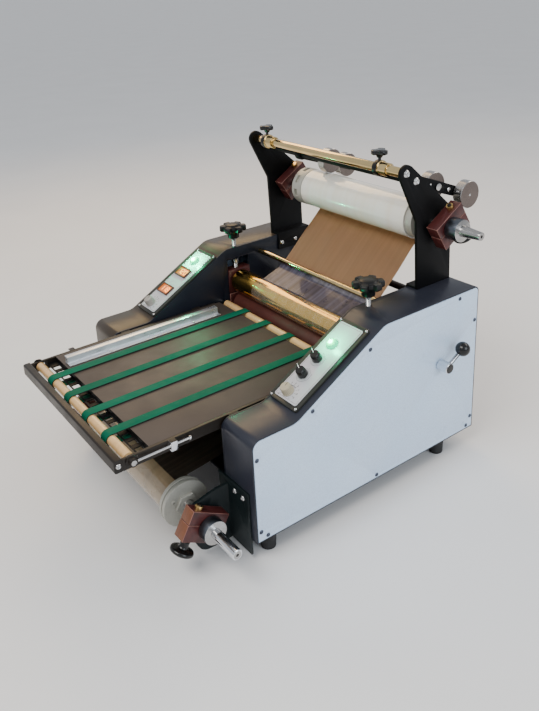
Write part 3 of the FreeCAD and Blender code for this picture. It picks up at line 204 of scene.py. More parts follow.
def moulded(name, colour, rough, grain, bump, coat, spread=0.8, gloss=0.4):
    """Moulded plastic or ground rubber with a fine grain."""
    mat, tree, shader = material(name)
    low_tone = tuple(value * spread for value in colour)
    drift = ramp(tree, noise(tree, 40.0, 4.0), [(0.35, low_tone), (0.65, colour)])
    tree.links.new(drift, shader.inputs["Base Color"])
    roughened(tree, shader, noise(tree, 90.0, 4.0), rough * 0.85, rough * 1.2)
    set_sockets(shader, {"Specular IOR Level": gloss, "Coat Weight": coat, "Coat Roughness": 0.2})
    bumped(tree, shader, noise(tree, grain, 2.0), bump, 0.0001)
    return mat


def phenolic(name, tones):
    """Cotton phenolic sheet: thin darker cloth layers and machining streaks."""
    mat, tree, shader = material(name)
    layers = noise(tree, 60.0, 3.0, 0.5, (30.0, 1.0, 1.0))
    base = ramp(tree, layers, [(0.3, tones[0]), (0.5, tones[1]), (0.7, tones[2])])
    machined = noise(tree, 300.0, 2.0, 0.5, (1.0, 6.0, 1.0))
    streak = ramp(tree, machined, [(0.35, grey(0.85)), (0.65, grey(1.0))])
    tree.links.new(mixed(tree, 1.0, base, streak, "MULTIPLY"), shader.inputs["Base Color"])
    set_sockets(shader, {"Roughness": 0.42})
    bumped(tree, shader, layers, 0.25, 0.0002)
    return mat


def belt_green(name, tones):
    """Thermoplastic belt with a fine twill."""
    mat, tree, shader = material(name)
    wave = tree.nodes.new("ShaderNodeTexWave")
    wave.bands_direction = "DIAGONAL"
    wave.inputs["Scale"].default_value = 260.0
    wave.inputs["Distortion"].default_value = 0.6
    tree.links.new(coords(tree), wave.inputs["Vector"])
    tone = ramp(tree, noise(tree, 14.0, 4.0, 0.6, (1.0, 0.3, 1.0)), [(0.3, tones[0]), (0.7, tones[1])])
    weave = ramp(tree, wave.outputs["Fac"], [(0.0, grey(0.80)), (1.0, grey(1.0))])
    tree.links.new(mixed(tree, 1.0, tone, weave, "MULTIPLY"), shader.inputs["Base Color"])
    roughened(tree, shader, noise(tree, 50.0, 4.0), 0.55, 0.7)
    set_sockets(shader, {"Specular IOR Level": 0.10})
    bumped(tree, shader, wave.outputs["Fac"], 0.25, 0.0001)
    return mat


def wound_film(name, light, shade, rough):
    """Film wound on a roll: milky gloss, soft bands round the roll and faint diagonal strain."""
    mat, tree, shader = material(name)
    bands = noise(tree, 9.0, 2.0, 0.5, (5.0, 0.4, 0.4))
    strain = noise(tree, 26.0, 3.0, 0.5, (0.7, 1.0, 1.0))
    tone = ramp(tree, bands, [(0.3, shade), (0.6, light)])
    warm = ramp(tree, strain, [(0.35, (1.0, 0.985, 0.95)), (0.65, grey(1.0))])
    tree.links.new(mixed(tree, 1.0, tone, warm, "MULTIPLY"), shader.inputs["Base Color"])
    roughened(tree, shader, strain, rough * 0.8, rough * 1.5)
    set_sockets(shader, {"Coat Weight": 0.8, "Coat Roughness": 0.06, "Subsurface Weight": 0.12,
                         "Subsurface Radius": (0.004, 0.003, 0.0025)})
    bumped(tree, shader, bands, 0.06, 0.0005)
    return mat


def web_film(name, tones, rough, alpha=1.0):
    """Unwound film: lengthways streaks, soft sheen."""
    mat, tree, shader = material(name)
    streaks = noise(tree, 30.0, 2.0, 0.5, (4.0, 0.10, 0.10))
    colour = ramp(tree, streaks, [(0.3, tones[0]), (0.5, tones[1]), (0.7, tones[2])])
    tree.links.new(colour, shader.inputs["Base Color"])
    roughened(tree, shader, noise(tree, 45.0, 4.0), rough * 0.7, rough * 1.3)
    set_sockets(shader, {"Coat Weight": 0.5, "Coat Roughness": 0.12, "Alpha": alpha})
    bumped(tree, shader, streaks, 0.15, 0.0005)
    return mat


def glowing(name, colour, glow, strength, rough=0.2):
    """Lit lens or digit."""
    mat, tree, shader = material(name)
    darker = tuple(value * 0.8 for value in colour)
    tone = ramp(tree, noise(tree, 260.0, 3.0), [(0.3, darker), (0.7, colour)])
    tree.links.new(tone, shader.inputs["Base Color"])
    set_sockets(shader, {"Roughness": rough, "Emission Color": (*glow, 1.0), "Emission Strength": strength,
                         "Coat Weight": 0.6})
    bumped(tree, shader, noise(tree, 900.0, 2.0), 0.08, 0.0001)
    return mat


def clear_skirt():
    """Clear acrylic of the knobs' skirts."""
    mat, tree, shader = material("clear_acrylic")
    tone = ramp(tree, noise(tree, 120.0, 3.0), [(0.3, (0.62, 0.66, 0.66)), (0.7, (0.75, 0.78, 0.78))])
    tree.links.new(tone, shader.inputs["Base Color"])
    set_sockets(shader, {"Roughness": 0.08, "Alpha": 0.42, "Coat Weight": 1.0})
    bumped(tree, shader, noise(tree, 200.0, 2.0), 0.05, 0.0001)
    return mat


ACROSS_LINES = (40.0, 1.0, 1.0)
EVEN = (1.0, 1.0, 1.0)
MAROON = ((0.032, 0.006, 0.006), (0.060, 0.011, 0.010), (0.095, 0.020, 0.017))
AMBER = ((0.10, 0.030, 0.012), (0.17, 0.055, 0.020), (0.25, 0.09, 0.035))
# pale pink tones for the phenolic's rounded edges: a painted thin highlight along the edges
PAINTED_EDGE_HIGHLIGHT = ((0.30, 0.13, 0.10), (0.42, 0.20, 0.16), (0.52, 0.28, 0.22))
TAN_WEB = ((0.385, 0.210, 0.098), (0.41, 0.225, 0.107), (0.435, 0.240, 0.116))
CLEAR_WEB = ((0.040, 0.034, 0.060), (0.080, 0.070, 0.120), (0.15, 0.135, 0.21))
NIP_WEB = ((0.55, 0.50, 0.44), (0.75, 0.70, 0.62), (0.90, 0.88, 0.84))
# near-black browns for the lower web under the table: painted shade, darkened to the dark of its shadow
LOWER_WEB_PAINTED_SHADE = ((0.050, 0.036, 0.026), (0.075, 0.054, 0.038), (0.11, 0.08, 0.058))

# key: (name, dark tone, light tone, grain per metre, roughness from and to, bump, coat, gloss)
COATS = {
    "cover": ("cover_coat", (0.016, 0.018, 0.027), (0.026, 0.029, 0.042), 1100.0, (0.28, 0.40), 0.22, 0.10),
    # the left covers' coat is tinted warm brown: a painted warm reflection, not a second paint colour
    "cover_painted_warm_reflection": ("cover_coat_left_painted_reflection", (0.034, 0.025, 0.017), (0.052, 0.038, 0.026), 1100.0, (0.28, 0.40),
                   0.22, 0.08),
    "panel": ("panel_paint", (0.60, 0.76, 0.96), (0.66, 0.80, 0.98), 800.0, (0.26, 0.34), 0.05, 0.2),
    "plate": ("black_plate", (0.0022, 0.0022, 0.0026), (0.0045, 0.0045, 0.005), 1300.0, (0.40, 0.55),
              0.2, 0.0, 0.12),
    "control_plate": ("control_plate_coat", (0.020, 0.021, 0.018), (0.032, 0.033, 0.028), 1300.0,
                      (0.36, 0.5), 0.2, 0.05),
    "inner": ("inner_plate", (0.007, 0.009, 0.016), (0.013, 0.016, 0.026), 900.0, (0.30, 0.45), 0.15, 0.05),
    "frame": ("table_frame_coat", (0.012, 0.009, 0.007), (0.021, 0.016, 0.012), 1200.0,
              (0.32, 0.46), 0.2, 0.05),
    "table": ("table_sheet", (0.062, 0.048, 0.040), (0.085, 0.067, 0.056), 1500.0, (0.42, 0.58), 0.2, 0.0),
    "bracket": ("bracket_coat", (0.004, 0.008, 0.009), (0.008, 0.014, 0.015), 900.0, (0.34, 0.5), 0.3, 0.05),
    "motor": ("motor_paint", (0.05, 0.055, 0.06), (0.08, 0.085, 0.09), 500.0, (0.45, 0.6), 0.5, 0.0),
}
MAT = {key: coated_metal(*values) for key, values in COATS.items()}
MAT.update({
    # the chrome of rods, collars and idlers and the heated roller's chrome are tinted gold: a painted warm
    # reflection, not the plating's own colour
    "chrome_painted_gold_reflection": bare_metal("chrome_painted_gold_reflection", (0.80, 0.60, 0.29), (0.07, 0.16), ACROSS_LINES, 60.0, 0.05),
    "roller": bare_metal("roller_chrome_painted_gold_reflection", (0.86, 0.53, 0.12), (0.12, 0.22), ACROSS_LINES, 60.0, 0.06),
    "bright": bare_metal("lever_chrome", (0.86, 0.87, 0.90), (0.08, 0.16), EVEN, 400.0, 0.04),
    "steel": bare_metal("turned_steel", (0.48, 0.47, 0.46), (0.18, 0.32), ACROSS_LINES, 90.0, 0.2),
    # the wheels' flat faces are coloured darker than their rims: a painted dark reflection
    "wheel_face_painted_dark_reflection": bare_metal("wheel_face_painted_dark_reflection", (0.20, 0.165, 0.15), (0.24, 0.36), EVEN, 700.0, 0.2),
    "panel_screw": bare_metal("panel_screw", (0.09, 0.10, 0.13), (0.22, 0.36), EVEN, 1500.0, 0.1),
    "dark_steel": bare_metal("hub_steel", (0.13, 0.145, 0.17), (0.28, 0.42), ACROSS_LINES, 90.0, 0.2),
    "screw": bare_metal("screw_steel", (0.66, 0.65, 0.64), (0.16, 0.3), EVEN, 1500.0, 0.1),
    "zinc": bare_metal("cast_flange", (0.50, 0.49, 0.43), (0.36, 0.52), EVEN, 500.0, 0.5, 0.35),
    "brass": bare_metal("brass", (0.78, 0.52, 0.20), (0.2, 0.34), EVEN, 900.0, 0.12),
    "alloy": bare_metal("side_guide_alloy", (0.78, 0.80, 0.83), (0.26, 0.38), (1.0, 0.02, 1.0), 900.0, 0.12,
                        0.85),
    "gear_steel": bare_metal("gear_steel", (0.45, 0.45, 0.46), (0.3, 0.45), EVEN, 700.0, 0.2),
    "gear_nylon": moulded("gear_nylon", (0.72, 0.70, 0.62), 0.45, 900.0, 0.1, 0.0),
    "rubber": moulded("foot_rubber", (0.022, 0.022, 0.023), 0.7, 900.0, 0.4, 0.0),
    "roller_rubber": moulded("roller_rubber", (0.085, 0.022, 0.016), 0.55, 1200.0, 0.3, 0.0),
    "bakelite": moulded("black_bakelite", (0.005, 0.005, 0.005), 0.22, 1500.0, 0.05, 0.25, 0.8, 0.3),
    "black": moulded("black_plastic", (0.006, 0.006, 0.0065), 0.34, 1800.0, 0.2, 0.05, 0.8, 0.25),
    "cream": moulded("cream_knob", (0.50, 0.44, 0.31), 0.42, 1500.0, 0.1, 0.2),
    "grey_knob": moulded("grey_knob", (0.36, 0.33, 0.30), 0.45, 1500.0, 0.15, 0.1),
    "cream_roller": moulded("cream_roller", (0.74, 0.46, 0.20), 0.26, 700.0, 0.10, 0.5, 0.9),
    "overlay": moulded("overlay_print", (0.56, 0.56, 0.58), 0.34, 1800.0, 0.08, 0.3, 0.93),
    "ink": moulded("overlay_ink", (0.02, 0.02, 0.025), 0.4, 1500.0, 0.05, 0.1),
    "red_ink": moulded("overlay_border", (0.16, 0.035, 0.035), 0.4, 1500.0, 0.05, 0.1),
    "white_ink": moulded("white_ink", (0.85, 0.85, 0.82), 0.4, 1500.0, 0.05, 0.1),
    "card": moulded("core_card", (0.42, 0.30, 0.18), 0.8, 700.0, 0.5, 0.0),
    "circuit": moulded("circuit_board", (0.02, 0.14, 0.07), 0.4, 400.0, 0.3, 0.2),
    "pcb_part": moulded("board_part", (0.05, 0.05, 0.055), 0.5, 900.0, 0.2, 0.0),
    "phenolic": phenolic("phenolic", MAROON),
    "phenolic_amber": phenolic("phenolic_amber", AMBER),
    "phenolic_edge_painted_highlight": phenolic("phenolic_edge_painted_highlight", PAINTED_EDGE_HIGHLIGHT),
    "belt": belt_green("belt_green", ((0.0, 0.095, 0.050), (0.0, 0.140, 0.078))),
    "belt_under": moulded("belt_under", (0.006, 0.012, 0.010), 0.6, 900.0, 0.4, 0.0),
    "film": wound_film("film_roll", (0.88, 0.86, 0.79), (0.84, 0.80, 0.69), 0.16),
    "film_low": wound_film("film_roll_low", (0.33, 0.245, 0.145), (0.27, 0.20, 0.12), 0.22),
    "film_edge": wound_film("film_edge", (0.80, 0.78, 0.72), (0.62, 0.60, 0.54), 0.35),
    "web": web_film("web_tan", TAN_WEB, 0.42),
    "web_clear": web_film("web_clear", CLEAR_WEB, 0.34, 0.92),
    "nip_film": web_film("nip_film", NIP_WEB, 0.10, 0.10),
    "web_low": web_film("web_low", LOWER_WEB_PAINTED_SHADE, 0.4),
    "lamp": glowing("lamp_lens", (0.0, 0.40, 0.19), (0.0, 0.85, 0.40), 1.3),
    "lamp_core": glowing("lamp_core", (0.40, 0.95, 0.75), (0.40, 1.0, 0.78), 6.0),
    "digit": glowing("display_digit", (0.9, 0.25, 0.05), (1.0, 0.30, 0.05), 5.0),
    "window": glowing("display_window", (0.40, 0.12, 0.03), (1.0, 0.22, 0.03), 0.6, 0.15),
    "bezel": moulded("display_bezel", (0.10, 0.035, 0.018), 0.4, 1500.0, 0.1, 0.1),
    "acrylic": clear_skirt(),
})


# ================================================================ mesh helpers
SHARP = math.radians(40.0)


def from_bmesh(name, bm, mat, angle=32.0):
    """Object from a bmesh, smooth except at edges sharper than the angle; mat is one name or a list."""
    mesh = bpy.data.meshes.new(name)
    bm.to_mesh(mesh)
    bm.free()
    for polygon in mesh.polygons:
        polygon.use_smooth = True
    mesh.set_sharp_from_angle(angle=math.radians(angle))
    for one in (mat if isinstance(mat, (list, tuple)) else [mat]):
        mesh.materials.append(MAT[one])
    obj = bpy.data.objects.new(name, mesh)
    bpy.context.scene.collection.objects.link(obj)
    return obj


def bevel_edges(bm, width, index):
    """Round the sharp edges; index is the material of the new faces, -1 for their neighbours'."""
    edges = [edge for edge in bm.edges
             if len(edge.link_faces) == 2 and edge.calc_face_angle(0.0) > SHARP]
    if edges:
        bmesh.ops.bevel(bm, geom=edges, offset=width, segments=2, profile=0.5, affect="EDGES",
                        clamp_overlap=True, material=index)


def place(obj, body, nodes=()):
    """Ride on a body and stand for CAD nodes."""
    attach(obj, body)
    if nodes:
        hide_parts(*nodes)
    return obj


def axes_for(direction):
    """Two unit vectors square to a direction."""
    direction = direction.normalized()
    helper = UP if abs(direction.z) < 0.9 else Vector((0, 1, 0))
    first = direction.cross(helper).normalized()
    return first, direction.cross(first).normalized()


def lathe_into(bm, profile, origin, direction, segments=56):
    """Turn (distance along, radius) points round a direction; ends on the axis are closed."""
    direction = direction.normalized()
    first, second = axes_for(direction)
    rings = []
    for along, radius in profile:
        centre = origin + direction * along
        if radius < 1e-7:
            rings.append([bm.verts.new(centre)])
            continue
        ring = []
        for step in range(segments):
            angle = 2 * math.pi * step / segments
            ring.append(bm.verts.new(centre + (first * math.cos(angle) + second * math.sin(angle)) * radius))
        rings.append(ring)
    for a, b in zip(rings, rings[1:]):
        for step in range(segments):
            following = (step + 1) % segments
            if len(a) == 1 and len(b) == 1:
                continue
            if len(a) == 1:
                bm.faces.new((a[0], b[step], b[following]))
            elif len(b) == 1:
                bm.faces.new((a[step], b[0], a[following]))
            else:
                bm.faces.new((a[step], b[step], b[following], a[following]))


def skin_rings(bm, rings):
    """Faces between closed rings of corners, and a cap on each end."""
    count = len(rings[0])
    for a, b in zip(rings, rings[1:]):
        for step in range(count):
            following = (step + 1) % count
            bm.faces.new((a[step], a[following], b[following], b[step]))
    bm.faces.new(list(reversed(rings[0])))
    bm.faces.new(rings[-1])


def lathe(name, profile, origin, direction, mat, segments=56, angle=32.0):
    """Turned object."""
    bm = bmesh.new()
    lathe_into(bm, profile, origin, direction, segments)
    bmesh.ops.recalc_face_normals(bm, faces=bm.faces)
    return from_bmesh(name, bm, mat, angle)


def rounded(profile_points, bevel=0.0004):
    """Cut each inner corner of a lathe profile by a small 45 degree chamfer."""
    result = [profile_points[0]]
    for before, point, after in zip(profile_points, profile_points[1:], profile_points[2:]):
        a = Vector(before) - Vector(point)
        b = Vector(after) - Vector(point)
        cut = min(bevel, a.length * 0.4, b.length * 0.4)
        if a.length > 1e-9 and b.length > 1e-9:
            result.append(tuple(Vector(point) + a.normalized() * cut))
            result.append(tuple(Vector(point) + b.normalized() * cut))
        else:
            result.append(point)
    result.append(profile_points[-1])
    return result


def brick_into(bm, centre, sizes, axes, bevel=0.0, index=0):
    """A box about a centre with its own axes, edges rounded."""
    made = bmesh.ops.create_cube(bm, size=1.0)
    matrix = Matrix((axes[0] * sizes[0], axes[1] * sizes[1], axes[2] * sizes[2])).transposed().to_4x4()
    matrix.translation = centre
    bmesh.ops.transform(bm, matrix=matrix, verts=made["verts"])
    faces = {face for vert in made["verts"] for face in vert.link_faces}
    for face in faces:
        face.material_index = index
    if bevel:
        edges = {edge for vert in made["verts"] for edge in vert.link_edges}
        bmesh.ops.bevel(bm, geom=list(edges), offset=bevel, segments=2, profile=0.5, affect="EDGES")


def reach_of(face, axis):
    """How far the face's farthest corner is from an axis along X."""
    return max(math.hypot(vert.co.y - axis.y, vert.co.z - axis.z) for vert in face.verts)


def softened(node, body, mat, width, pick=None, edge=-1):
    """The CAD node's own mesh with its edges rounded, standing for the node.

    pick chooses a material index from a face's centre and the face; edge is the index of the
    material on the rounded edges, -1 for that of the faces beside them."""
    bm = bmesh.new()
    bm.from_mesh(NODES[node].data)
    bmesh.ops.remove_doubles(bm, verts=bm.verts, dist=1e-6)
    bmesh.ops.dissolve_limit(bm, angle_limit=math.radians(0.4), verts=bm.verts, edges=bm.edges)
    for face in bm.faces:
        face.material_index = pick(face.calc_center_median(), face) if pick else 0
    if width:
        bevel_edges(bm, width, edge)
    return place(from_bmesh(node + "_skin", bm, mat), body, (node,))


def repaint(node, mat):
    """Give a CAD node a better material."""
    mesh = NODES[node].data
    for index in range(max(1, len(mesh.materials))):
        if len(mesh.materials) > index:
            mesh.materials[index] = MAT[mat]
        else:
            mesh.materials.append(MAT[mat])


# ================================================================ housings and structure
BRAKE_REACH = 0.046
PANEL_SCREW_DEPTH = 0.0035
RAIL_OUTSIDE = 0.2095
TENSIONER_BLOCK_BACK = 0.074
TENSIONER_BLOCK_HALF = 0.0075
ROD_BEFORE_BAR = 0.012
HOUSING_SKINS = (("side_panels", "panel", 0.0005), ("uprights", "plate", 0.0006),
                 ("control_plates", "control_plate", 0.0006), ("lower_brackets", "bracket", 0.0008),
                 ("chassis", "inner", 0.0004))


def build_structure():
    """Covers, panels, plates, table frame, rods, screws and feet."""
    # side_of sends the left covers' faces to the coat that carries a painted warm reflection
    def side_of(centre, face):
        return 0 if centre.x > CENTRE_X else 1

    def rail_or_block(centre, face):
        beside = abs(centre.x - CENTRE_X) > RAIL_OUTSIDE
        behind_roller = centre.y - FRONT_BELT_AXIS.y
        return 1 if beside and abs(behind_roller - TENSIONER_BLOCK_BACK) < TENSIONER_BLOCK_HALF else 0

    def rod_or_bar(centre, face):
        return 0 if centre.y < joint_at("cradle_arm_left_swing").y - ROD_BEFORE_BAR else 1

    def nut(centre, face):
        for axis in (UPPER_AXIS, LOWER_AXIS):
            if math.hypot(centre.y - axis.y, centre.z - axis.z) < BRAKE_REACH:
                return 1
        return 2 if abs(centre.x - CENTRE_X) > PANEL_HIGH.x - CENTRE_X - PANEL_SCREW_DEPTH else 0

    # the left covers take the coat with the painted warm reflection
    softened("housing_covers", "machine", ["cover", "cover_painted_warm_reflection"], 0.0006, side_of)
    for node, mat, width in HOUSING_SKINS:
        softened(node, "machine", mat, width)
    softened("table_frame", "machine", ["frame", "bright"], 0.0005, rail_or_block)
    for node, mat in (("rubber_feet", "rubber"), ("gear_motor", "motor"), ("power_inlet", "black"),
                      ("control_overlays", "overlay")):
        repaint(node, mat)
    # the rods take the gold-tinted chrome: a painted warm reflection
    softened("top_rods", "machine", ["chrome_painted_gold_reflection", "plate"], 0.0004, rod_or_bar)
    softened("screws", "machine", ["screw", "brass", "panel_screw"], 0.0, nut)


BELT_ROLLER_HALF = 0.1985
BELT_ROLLER_SHAFT_R = 0.0085
COVERING_HALF = 0.2055
RUBBER_SHAFT_R = 0.0125
HEATER_R = 0.0095


def build_rollers():
    """Pull, heated, rubber, idler and belt rollers, their gears and bearing blocks."""
    for node, mat in (("pull_roller_lower", "roller_rubber"), ("pull_roller_upper", "roller_rubber"),
                      # the heated roller and both idler rods take gold-tinted chrome: a painted warm
                      # reflection
                      ("heated_roller", "roller"), ("upper_idler_rod", "chrome_painted_gold_reflection"),
                      ("lower_idler_rod", "chrome_painted_gold_reflection"),
                      ("train_idler_gear", "gear_nylon"), ("motor_pinion", "gear_steel")):
        repaint(node, mat)

    for node in ("rear_belt_roller", "front_belt_roller"):
        axis = middle(node)

        def shaft(centre, face, axis=axis):
            past_end = abs(centre.x - CENTRE_X) > BELT_ROLLER_HALF
            return 1 if past_end or reach_of(face, axis) < BELT_ROLLER_SHAFT_R else 0

        softened(node, node, ["cream_roller", "steel"], 0.0003, shaft)

    def covering(centre, face):
        inside = abs(centre.x - CENTRE_X) < COVERING_HALF
        return 0 if inside and reach_of(face, RUBBER_AXIS) > RUBBER_SHAFT_R else 1

    def heater(centre, face):
        return 1 if reach_of(face, HEATED_AXIS) < HEATER_R else 0

    softened("rubber_roller", "rubber_roller", ["roller_rubber", "gear_steel"], 0.0003, covering)
    # the rounded edges take the pale phenolic: a painted highlight along the edges
    softened("lower_bearing_blocks", "machine", ["phenolic", "phenolic_edge_painted_highlight"], 0.0005, None, 1)
    softened("roller_carriage", "roller_carriage", ["phenolic", "steel"], 0.0005, heater)


# ================================================================ film
NIP_ROLLER_R = 0.028
IDLER_R = 0.006
FILM_LIFT = 0.0004
FILM_THICK = 0.0002
CORE_R = 0.019
CORE_HOLE_R = 0.0127
# the wrinkles' waves: (share of the height, radians per metre across the web, shift)
WAVES = ((0.5, 61.0, 0.3), (0.3, 97.0, 1.7), (0.2, 151.0, 4.1), (0.35, 39.0, 2.2))


def smooth_wave(x):
    """A few sine waves with odd lengths: the same value for the same place."""
    return sum(share * math.sin(x * rate + shift) for share, rate, shift in WAVES)


def path_points(path, rows):
    """Even steps along a path of (y, z) points, each with the path's left-hand normal."""
    lengths = [math.dist(a, b) for a, b in zip(path, path[1:])]
    total = sum(lengths)
    result = []
    for row in range(rows + 1):
        left = total * row / rows
        leg = 0
        while leg < len(lengths) - 1 and left > lengths[leg]:
            left -= lengths[leg]
            leg += 1
        a = path[leg]
        b = path[leg + 1]
        share = left / lengths[leg]
        run = Vector((b[0] - a[0], b[1] - a[1])).normalized()
        result.append((a[0] + (b[0] - a[0]) * share, a[1] + (b[1] - a[1]) * share, -run.y, run.x))
    return result


def film_strip(name, path, x_span, wrinkle, mat, body, nodes=(), columns=150, rows=36, outward=0):
    """Film along a path across the machine, with lengthways wrinkles that die out at its ends.

    outward keeps the wrinkles on one side of the path: 1 left, -1 right, 0 both."""
    bm = bmesh.new()
    grid = []
    for row, (y, z, ny, nz) in enumerate(path_points(path, rows)):
        v = row / rows
        hold = math.sin(math.pi * v)
        line = []
        for column in range(columns + 1):
            u = column / columns
            x = x_span[0] + (x_span[1] - x_span[0]) * u
            lift = smooth_wave(x + 0.015 * math.sin(5.0 * v + x * 9.0)) * wrinkle * hold
            if outward:
                lift = outward * (abs(lift) + 0.0001)
            line.append(bm.verts.new((x, y + ny * lift, z + nz * lift)))
        grid.append(line)
    for a, b in zip(grid, grid[1:]):
        for column in range(columns):
            bm.faces.new((a[column], a[column + 1], b[column + 1], b[column]))
    bmesh.ops.solidify(bm, geom=list(bm.faces), thickness=FILM_THICK)
    bmesh.ops.recalc_face_normals(bm, faces=bm.faces)
    obj = from_bmesh(name, bm, mat, 60.0)
    if body:
        place(obj, body, nodes)
    return obj


def flat_runs(node):
    """The ends of each flat run of film in a CAD node, as pairs of (y, z), longest first."""
    bm = bmesh.new()
    bm.from_mesh(NODES[node].data)
    bmesh.ops.remove_doubles(bm, verts=bm.verts, dist=1e-6)
    left = set(bm.verts)
    runs = []
    while left:
        island = {left.pop()}
        border = list(island)
        while border:
            for edge in border.pop().link_edges:
                for vert in edge.verts:
                    if vert in left:
                        left.remove(vert)
                        island.add(vert)
                        border.append(vert)
        spots = [(vert.co.y, vert.co.z) for vert in island]
        first = max(spots, key=lambda spot: spot[0] + 0.2 * spot[1])
        last = max(spots, key=lambda spot: math.dist(spot, first))
        runs.append((first, last))
    bm.free()
    return sorted(runs, key=lambda run: -math.dist(*run))


def arc_points(axis, radius, start, end, steps):
    """Points (y, z) round an axis; angles in degrees from +Y towards +Z."""
    result = []
    for step in range(steps + 1):
        angle = math.radians(start + (end - start) * step / steps)
        result.append((axis.y + radius * math.cos(angle), axis.z + radius * math.sin(angle)))
    return result


def roll_profile(x0, x1, outer, core, hole):
    """Half section of a wound roll: hole, core, wound end with a few proud layers, outside."""
    points = [(x0, hole), (x0, core)]
    layers = 9
    for layer in range(layers):
        radius = core + (outer - core) * (layer + 0.5) / layers
        points.append((x0 + (0.0007 if layer % 2 else 0.0002), radius))
    points += [(x0 + 0.0004, outer - 0.0004), (x0 + 0.0008, outer)]
    points += [(x1 - 0.0008, outer), (x1 - 0.0004, outer - 0.0004)]
    for layer in reversed(range(layers)):
        radius = core + (outer - core) * (layer + 0.5) / layers
        points.append((x1 - (0.0007 if layer % 2 else 0.0002), radius))
    points += [(x1, core), (x1, hole), (x0, hole)]
    return points


def film_roll(node, body, axis, mat):
    """Wound film with ring layers at its ends and a card core."""
    a = low(node)
    b = high(node)
    outer = (b.z - a.z) / 2 - 0.0001
    bm = bmesh.new()
    profile = roll_profile(a.x, b.x, outer, CORE_R, CORE_HOLE_R)
    lathe_into(bm, profile, Vector((0, axis.y, axis.z)), ACROSS, 96)
    bmesh.ops.remove_doubles(bm, verts=bm.verts, dist=1e-7)
    bmesh.ops.recalc_face_normals(bm, faces=bm.faces)
    for face in bm.faces:
        centre = face.calc_center_median()
        if math.hypot(centre.y - axis.y, centre.z - axis.z) < CORE_R:
            face.material_index = 2
        elif abs(face.normal.x) > 0.5:
            face.material_index = 1
    return place(from_bmesh(node + "_wound", bm, [mat, "film_edge", "card"], 40.0), body, (node,))


def build_film():
    """Both rolls, the upper web over its idler and the heated roller, and the lower web."""
    film_roll("upper_film_roll", "upper_mandrel", UPPER_AXIS, "film")
    film_roll("lower_film_roll", "lower_mandrel", LOWER_AXIS, "film_low")
    x_span = (low("upper_film_web").x, high("upper_film_web").x)
    long_run, short_run = flat_runs("upper_film_web")
    film_strip("upper_web_film", long_run, x_span, 0.0022, "web", "machine", ("upper_film_web",))
    over = arc_points(HEATED_AXIS, NIP_ROLLER_R + FILM_LIFT, 74, 262, 40)
    under_idler = arc_points(UPPER_IDLER, IDLER_R + FILM_LIFT, -50, -105, 6)
    path = under_idler + [short_run[0]] + over[:3]
    nip = film_strip("roller_film", path, x_span, 0.0007, "web_clear", None, (), 200, 30)
    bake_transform(nip)
    film_strip("roller_wrap", over[2:], x_span, 0.0004, "nip_film", "roller_carriage", (), 120, 50, -1)
    low_span = (low("lower_film_web").x, high("lower_film_web").x)
    # the lower web takes the darkened film: painted shade under the table
    film_strip("lower_web_film", flat_runs("lower_film_web")[0], low_span, 0.0010, "web_low", "machine",
               ("lower_film_web",))


# ================================================================ mandrels, brakes, wheels
CHUCK_BEFORE_ROLL = 0.045
CHUCK_AFTER_ROLL = 0.030
CHUCK_SHAFT_R = 0.0135
HUB_SHAFT_R = 0.0215
UPPER_HUB_X = 0.24
LOWER_HUB_X = 0.22
AMBER_REACH = 0.07
SCREW_END = -0.033
MUSHROOM = [(SCREW_END, 0.0), (SCREW_END, 0.004), (0.034, 0.004), (0.034, 0.0085), (0.042, 0.0080),
            (0.046, 0.0095), (0.0475, 0.016), (0.049, 0.0205), (0.0515, 0.0218), (0.0545, 0.0212),
            (0.0565, 0.0185), (0.0575, 0.013), (0.0573, 0.006), (0.0570, 0.0)]
FLANGE_OUT = 0.019
HEXAGON_R = 0.0235
HEXAGON_THICK = 0.0065
SLEEVE_R = 0.0096
SLEEVE_LONG = 0.0645
CENTRE_HOLE_DEEP = 0.006


def chuck_or_shaft(roll, axis, hub_side):
    """0 shaft, 1 core chuck beside the roll, 2 side of the friction hub."""
    chuck_low = low(roll).x - CHUCK_BEFORE_ROLL
    chuck_high = high(roll).x + CHUCK_AFTER_ROLL

    def pick(centre, face):
        away = reach_of(face, axis)
        if chuck_low < centre.x < chuck_high:
            return 1 if away > CHUCK_SHAFT_R else 0
        return 2 if away > HUB_SHAFT_R and abs(face.normal.x) < 0.5 and centre.x > hub_side else 0

    return pick


def build_mandrels():
    """Both mandrels, the brake blocks and the mushroom knobs on their screws."""
    for node, roll, axis, hub_side in (("upper_mandrel", "upper_film_roll", UPPER_AXIS, UPPER_HUB_X),
                                       ("lower_mandrel", "lower_film_roll", LOWER_AXIS, LOWER_HUB_X)):
        softened(node, node, ["steel", "zinc", "dark_steel"], 0.0006, chuck_or_shaft(roll, axis, hub_side))
    place_lower_trim()

    def amber(centre, face):
        return 1 if reach_of(face, LOWER_AXIS) < AMBER_REACH and face.normal.y < -0.3 else 0

    # the rounded edges take the pale phenolic: a painted highlight along the edges
    softened("brake_blocks", "machine", ["phenolic", "phenolic_amber", "phenolic_edge_painted_highlight"], 0.0007, amber, 2)
    for node in ("upper_brake_knob", "lower_brake_knob"):
        direction = -Vector(JOINTS[node + "_turn"]["axis"]).normalized()
        origin = joint_at(node + "_turn")
        knob = lathe(node + "_mushroom", rounded(MUSHROOM, 0.0003), origin, direction, "bakelite", 64, 40.0)
        place(knob, node, (node,))


